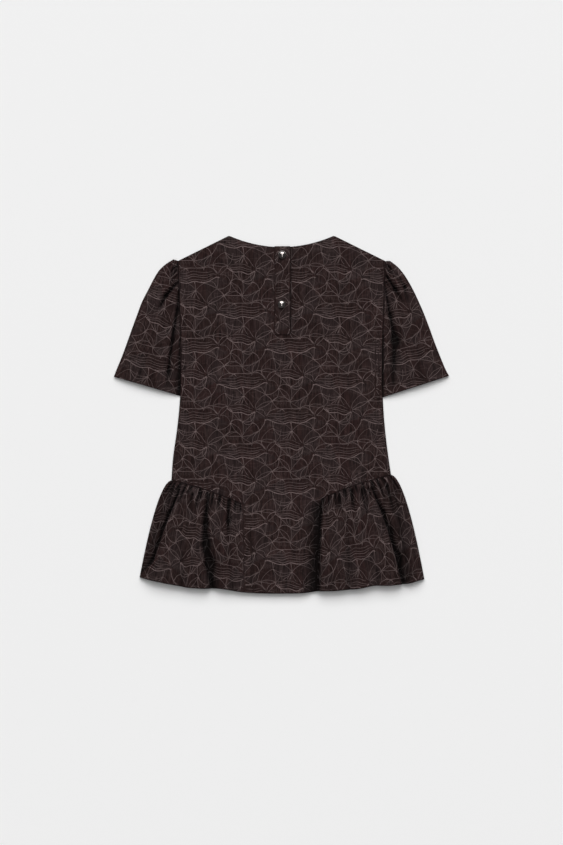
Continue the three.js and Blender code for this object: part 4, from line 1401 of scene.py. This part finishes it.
def lathe(name, profile, centre, segments):
    """A closed turned form. Its profile starts and ends on the axis."""
    angles = np.linspace(0, 2 * math.pi, segments, endpoint=False)
    rings = profile[1:-1]
    ring_points = [
        [radius * math.cos(angle), radius * math.sin(angle), z] for radius, z in rings for angle in angles
    ]
    points = np.array([[0, 0, profile[0][1]], *ring_points, [0, 0, profile[-1][1]]]) + centre
    faces = []
    top = len(points) - 1
    for segment in range(segments):
        following = (segment + 1) % segments
        faces.append([0, 1 + following, 1 + segment])
        for ring in range(len(rings) - 1):
            low, high = 1 + ring * segments, 1 + (ring + 1) * segments
            faces.append([low + segment, low + following, high + following, high + segment])
        last = 1 + (len(rings) - 1) * segments
        faces.append([last + segment, last + following, top])
    thing = mesh_object(name, points, faces)
    thing.data.set_sharp_from_angle(angle=math.radians(SHARP_ANGLE))
    return thing


# Materials
class Shader:
    """A material whose nodes are added in the order of their use."""

    def __init__(self, name):
        self.material = bpy.data.materials.new(name)
        self.material.use_nodes = True
        self.tree = self.material.node_tree
        self.surface = self.tree.nodes["Principled BSDF"]

    def node(self, kind, settings=None, **inputs):
        made = self.tree.nodes.new(kind)
        for key, value in (settings or {}).items():
            setattr(made, key, value)
        for key, value in inputs.items():
            self.put(made.inputs[key.replace("_", " ")], value)
        return made

    def put(self, socket, value):
        if isinstance(value, bpy.types.NodeSocket):
            self.tree.links.new(value, socket)
        else:
            socket.default_value = value

    def set(self, **inputs):
        for key, value in inputs.items():
            self.put(self.surface.inputs[key.replace("_", " ")], value)

    def cloth_place(self, scale):
        """The place in the flat cloth, stretched by a scale for each way, per metre."""
        uv = self.node("ShaderNodeUVMap", {"uv_map": "cloth"})
        return self.node("ShaderNodeMapping", Vector=uv.outputs["UV"], Scale=scale).outputs["Vector"]

    def noise(self, scale, detail=3.0, rough=0.5):
        made = self.node("ShaderNodeTexNoise", Vector=self.cloth_place(scale), Scale=1.0, Detail=detail)
        made.inputs["Roughness"].default_value = rough
        return made.outputs["Fac"]

    def noise_in_space(self, **inputs):
        place = self.node("ShaderNodeTexCoord").outputs["Object"]
        return self.node("ShaderNodeTexNoise", Vector=place, **inputs).outputs["Fac"]

    def math(self, operation, a, b=0.0):
        made = self.node("ShaderNodeMath", {"operation": operation})
        self.put(made.inputs[0], a)
        self.put(made.inputs[1], b)
        return made.outputs[0]

    def ramp(self, value, low, high, to_low=0.0, to_high=1.0):
        made = self.node("ShaderNodeMapRange", Value=value)
        for key, number in (("From Min", low), ("From Max", high), ("To Min", to_low), ("To Max", to_high)):
            made.inputs[key].default_value = number
        return made.outputs["Result"]

    def blend(self, factor, low, high, kind="MIX"):
        made = self.node("ShaderNodeMix", {"data_type": "RGBA", "blend_type": kind})
        self.put(made.inputs[0], factor)
        for socket, value in ((made.inputs[6], low), (made.inputs[7], high)):
            self.put(socket, (*value, 1.0) if isinstance(value, tuple) else value)
        return made.outputs[2]

    def grey(self, value):
        made = self.node("ShaderNodeCombineColor")
        for key in ("Red", "Green", "Blue"):
            self.put(made.inputs[key], value)
        return made.outputs["Color"]

    def attribute(self, name):
        return self.node("ShaderNodeAttribute", {"attribute_name": name}).outputs["Fac"]

    def fold_light(self):
        """Painted shade and highlight: a factor on the colour, below 1 in a fold or beside a seam or an edge,
        and above 1 on a ridge.
        """
        crease = self.attribute("crease")
        painted_highlight = self.ramp(crease, -1.0, 0.0, RIDGE_LIGHT, 1.0)
        return self.math("MULTIPLY", self.ramp(crease, FOLD_START, FOLD_END, 1.0, CREASE_SHADE), painted_highlight)

    def bump(self, height):
        made = self.node("ShaderNodeBump", Height=height, Distance=RELIEF_DEPTH)
        self.set(Normal=made.outputs["Normal"])


def faint_web(shader):
    """How near a place is to the line of a small bent web, from 0 to 1."""
    wander = shader.node("ShaderNodeTexNoise", Vector=shader.cloth_place(WANDER_SCALE), Scale=1.0, Detail=2.0)
    bent = shader.node("ShaderNodeVectorMath", {"operation": "MULTIPLY_ADD"})
    shader.put(bent.inputs[0], wander.outputs["Color"])
    bent.inputs[1].default_value = WANDER
    shader.put(bent.inputs[2], shader.cloth_place(WEB_SCALE))
    edges = {"feature": "DISTANCE_TO_EDGE"}
    web = shader.node("ShaderNodeTexVoronoi", edges, Vector=bent.outputs[0], Scale=1.0)
    return shader.ramp(web.outputs["Distance"], *WEB_LINE, 1.0, 0.0)


def jacquard():
    """The dark ground: a fine crinkle along the threads, a faint small web and threads too fine to count."""
    shader = Shader("jacquard")
    crinkle = shader.noise(*CRINKLE)
    threads = shader.noise(*THREADS)
    tone = shader.attribute("tone")
    line = faint_web(shader)
    colour = shader.blend(shader.ramp(shader.noise(*BROAD), WARM_START, WARM_END), GROUND, GROUND_WARM)
    colour = shader.blend(shader.ramp(tone, COOL_START, COOL_END), colour, GROUND_COOL)
    colour = shader.blend(shader.math("MULTIPLY", line, WEB_SHARE), colour, YARN_DIM)
    grain = shader.ramp(threads, *THREAD_LIGHT)
    light = shader.math("MULTIPLY", shader.ramp(crinkle, *CRINKLE_LIGHT), grain)
    light = shader.math("MULTIPLY", light, shader.ramp(tone, 0, 1, *TONE_RANGE))
    # Painted shade in folds and beside seams and edges, and a painted highlight on ridges
    light = shader.math("MULTIPLY", light, shader.fold_light())
    colour = shader.blend(1.0, colour, shader.grey(light), "MULTIPLY")
    height = shader.math("MULTIPLY", crinkle, CRINKLE_RELIEF)
    for form, relief in ((threads, THREAD_RELIEF), (line, WEB_RELIEF)):
        height = shader.math("ADD", height, shader.math("MULTIPLY", form, relief))
    shader.set(Base_Color=colour, Roughness=shader.ramp(crinkle, *CLOTH_ROUGHNESS))
    shader.set(Specular_IOR_Level=CLOTH_SPECULAR, **CLOTH_SHEEN)
    shader.bump(height)
    return shader.material


def yarn():
    """The lighter yarn of the crackle, brighter and dimmer along each strand, with a twist."""
    shader = Shader("crackle_yarn")
    twist = shader.noise(*TWIST)
    along_strand = shader.ramp(shader.noise(*ALONG_STRAND), *STRAND_LIGHT)
    colour = shader.blend(shader.math("MULTIPLY", shader.attribute("shade"), along_strand), YARN_DIM, YARN)
    # The yarn takes the same painted shade and highlight as the cloth under it
    light = shader.math("MULTIPLY", shader.ramp(twist, *TWIST_LIGHT), shader.fold_light())
    colour = shader.blend(1.0, colour, shader.grey(light), "MULTIPLY")
    shader.set(Base_Color=colour, Roughness=shader.ramp(twist, *YARN_ROUGHNESS))
    shader.set(Specular_IOR_Level=YARN_SPECULAR, **YARN_SHEEN)
    shader.bump(shader.math("MULTIPLY", twist, TWIST_RELIEF))
    return shader.material


def gunmetal():
    """Polished dark metal with the faint haze of handling."""
    shader = Shader("gunmetal")
    haze = shader.noise_in_space(**HAZE)
    patina = shader.ramp(shader.noise_in_space(**PATINA), WARM_START, WARM_END)
    colour = shader.blend(patina, GUNMETAL, tuple(PATINA_LIGHT * tone for tone in GUNMETAL))
    shader.set(Base_Color=colour, Metallic=1.0, Roughness=shader.ramp(haze, *METAL_ROUGHNESS))
    shader.bump(shader.math("MULTIPLY", haze, HAZE_RELIEF))
    return shader.material


def pale_floor():
    shader = Shader("pale_floor")
    low, high = ((tone, tone, tone) for tone in FLOOR_TONES)
    colour = shader.blend(shader.noise_in_space(**FLOOR_GRAIN), low, high)
    shader.set(Base_Color=colour, Roughness=FLOOR_ROUGHNESS, Specular_IOR_Level=FLOOR_SPECULAR)
    return shader.material


# Putting it together
def dress(piece, material, slot, *nodes):
    """Gives a piece its material and body, and hides the solids that it stands for. Its slot is not used."""
    piece.data.materials.append(material)
    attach(piece, ROOT)
    if nodes:
        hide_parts(*nodes)
    return piece


def on_back(flat):
    x, y = flat.T
    covered = (x > BAND["left"]) & (x < BAND["right"]) & (y > BAND["bottom"] - BAND_CLEAR)
    return *back_body(x, y), (body_inset(x, y, back_top_y) > YARN_INSET) & ~covered


def on_front(flat):
    x, y = flat.T
    return *front_body(x, y), body_inset(x, y, front_top_y) > YARN_INSET


def build_bodies(cloth, thread):
    low = (-BODY_REACH, HEM_MIDDLE_Y)
    high = (BODY_REACH, NECK_TOP)
    back = body_piece("back_shell", back_body, back_top_y, 1, WEAVE_SHIFT["back"], BACK_CELL, is_opening)
    front = body_piece("front_shell", front_body, front_top_y, -1, WEAVE_SHIFT["front"], FRONT_CELL)
    back_weave = weave("back_weave", low, high, WEAVE_SHIFT["back"], on_back, 1)
    front_weave = weave("front_weave", low, high, WEAVE_SHIFT["front"], on_front, -1)
    dress(back, cloth, CLOTH_SLOT, "back_body")
    dress(front, cloth, CLOTH_SLOT, "front_body")
    dress(back_weave, thread, CLOTH_SLOT)
    dress(front_weave, thread, CLOTH_SLOT)


def on_panel(side, surface, flat):
    across, down = flat[:, 0] / panel_width(side), -flat[:, 1] / PANEL_DEPTH
    low, high = PANEL_INSET, 1 - PANEL_INSET
    inside = (across > low) & (across < high) & (down > low) & (down < high)
    return *surface(side, np.clip(across, 0, 1), np.clip(down, 0, 1)), inside


def build_peplum(cloth, thread):
    for side, (half, surface, facing) in itertools.product(
        SIDES, (("front", front_panel, -1), ("back", back_panel, 1))
    ):
        width = panel_width(side)
        shift = np.array(WEAVE_SHIFT["peplum"]) + PEPLUM_SHIFTS[side, half]
        name = f"{half}_peplum_{side}"
        panel = panel_piece(name + "_shell", side, surface, facing, shift, PANEL_GRID[half])
        yarn_place = partial(on_panel, side, surface)
        panel_weave = weave(name + "_weave", (0, -PANEL_DEPTH), (width, 0), shift, yarn_place, facing)
        dress(panel, cloth, CLOTH_SLOT, name)
        dress(panel_weave, thread, CLOTH_SLOT)


def on_sleeve(side, is_top, flat):
    place, half = sleeve_spot(side, flat)
    inner_half, _, outer_half, _, _ = sleeve_section(side, place)
    share = (half - inner_half) / (outer_half - SLEEVE_FOLD_RADIUS - inner_half)
    ends = SLEEVE_INSETS["ends"]
    inside = (share > SLEEVE_INSETS["armhole"]) & (share < 1 - SLEEVE_INSETS["fold"])
    inside &= (place > ends) & (place < last_row(side) - ends)
    share = np.clip(share, 0, 1)
    if is_top:
        return *sleeve_top(side, place, share), inside
    return *sleeve_under(side, place, 1 - share), inside


def build_sleeves(cloth, thread):
    for side, sign in SIDES.items():
        shift = np.array(WEAVE_SHIFT["sleeve"]) * sign
        name = f"sleeve_{side}"
        sleeve = sleeve_piece(name + "_shell", side, shift)
        reach = sleeve_grain(side, np.array(SLEEVE_CORNERS) * [sign, 1])
        low, high = reach.min(0), reach.max(0)
        weaves = [
            weave(name + "_top_weave", low, high, shift, partial(on_sleeve, side, True), 1),
            weave(name + "_under_weave", low, high, shift, partial(on_sleeve, side, False), -1),
        ]
        dress(sleeve, cloth, CLOTH_SLOT, name)
        for piece in weaves:
            dress(piece, thread, CLOTH_SLOT)


def on_band(flat):
    x, y = flat.T
    inside = (x > BAND["left"] + YARN_INSET) & (x < BAND["right"] - YARN_INSET)
    inside &= (y > BAND["bottom"] + YARN_INSET) & (y < BAND["top"] - YARN_INSET)
    for button_x, button_y in BUTTONS.values():
        inside &= np.hypot(x - button_x, y - button_y) > BUTTON_RADIUS - BUTTON_CLEAR
    return *band_top(x, y), inside


def build_opening(cloth, thread, metal):
    low, high = (BAND["left"], BAND["bottom"]), (BAND["right"], BAND["top"])
    over = dress(over_band(), cloth, CLOTH_SLOT, "placket_over")
    under = dress(under_band(), cloth, CLOTH_SLOT, "placket_under")
    band_weave = dress(weave("band_weave", low, high, WEAVE_SHIFT["band"], on_band, 1), thread, CLOTH_SLOT)
    stitches = dress(buttonhole_stitches(), thread, CLOTH_SLOT)
    for name in BUTTONS:
        dress(button(name), metal, METAL_SLOT, name)


def studio():
    """A pale floor, soft light all round, and softboxes far off beyond the neck."""
    bpy.ops.mesh.primitive_plane_add(size=FLOOR_SIZE, location=(0, 0, FLOOR_Z))
    floor = bpy.context.object
    floor.name = "floor"
    floor.data.materials.append(pale_floor())
    floor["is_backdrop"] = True
    world = bpy.data.worlds.new("studio")
    world.use_nodes = True
    world.node_tree.nodes["Background"].inputs["Color"].default_value = (AMBIENT, AMBIENT, AMBIENT, 1.0)
    bpy.context.scene.world = world
    for name, light in SOFTBOXES.items():
        data = bpy.data.lights.new(name, "AREA")
        data.shape = "RECTANGLE"
        data.size = 2 * LIGHT_DISTANCE * math.tan(math.radians(light["wide"] / 2))
        data.size_y = 2 * LIGHT_DISTANCE * math.tan(math.radians(light["tall"] / 2))
        data.energy = light["radiance"] * math.pi * data.size * data.size_y
        lamp = bpy.data.objects.new(name, data)
        elevation = math.radians(light["elevation"])
        lamp.location = (0, LIGHT_DISTANCE * math.cos(elevation), LIGHT_DISTANCE * math.sin(elevation))
        lamp.rotation_euler = (elevation - math.pi / 2, 0, 0)
        bpy.context.scene.collection.objects.link(lamp)


def camera():
    """Straight above, at the photograph's scale."""
    data = bpy.data.cameras.new("camera")
    data.sensor_width = SENSOR
    data.lens = SENSOR * (CAMERA_HEIGHT - CAMERA_FOCUS_Z) / (PHOTO_HEIGHT_PX * MM_PER_PX * MM)
    view = bpy.data.objects.new("camera", data)
    view.location = (CAMERA_X * MM, CAMERA_Y * MM, CAMERA_HEIGHT)
    bpy.context.scene.collection.objects.link(view)
    bpy.context.scene.camera = view
    bpy.context.scene.view_settings.view_transform = "Standard"


camera()
studio()
cloth_material = jacquard()
crackle_material = yarn()
build_bodies(cloth_material, crackle_material)
build_peplum(cloth_material, crackle_material)
build_sleeves(cloth_material, crackle_material)
build_opening(cloth_material, crackle_material, gunmetal())

boxes = {"cad": CAD_BOX, "visual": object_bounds()}
{key: [[float(value) for value in corner] for corner in box] for key, box in boxes.items()}
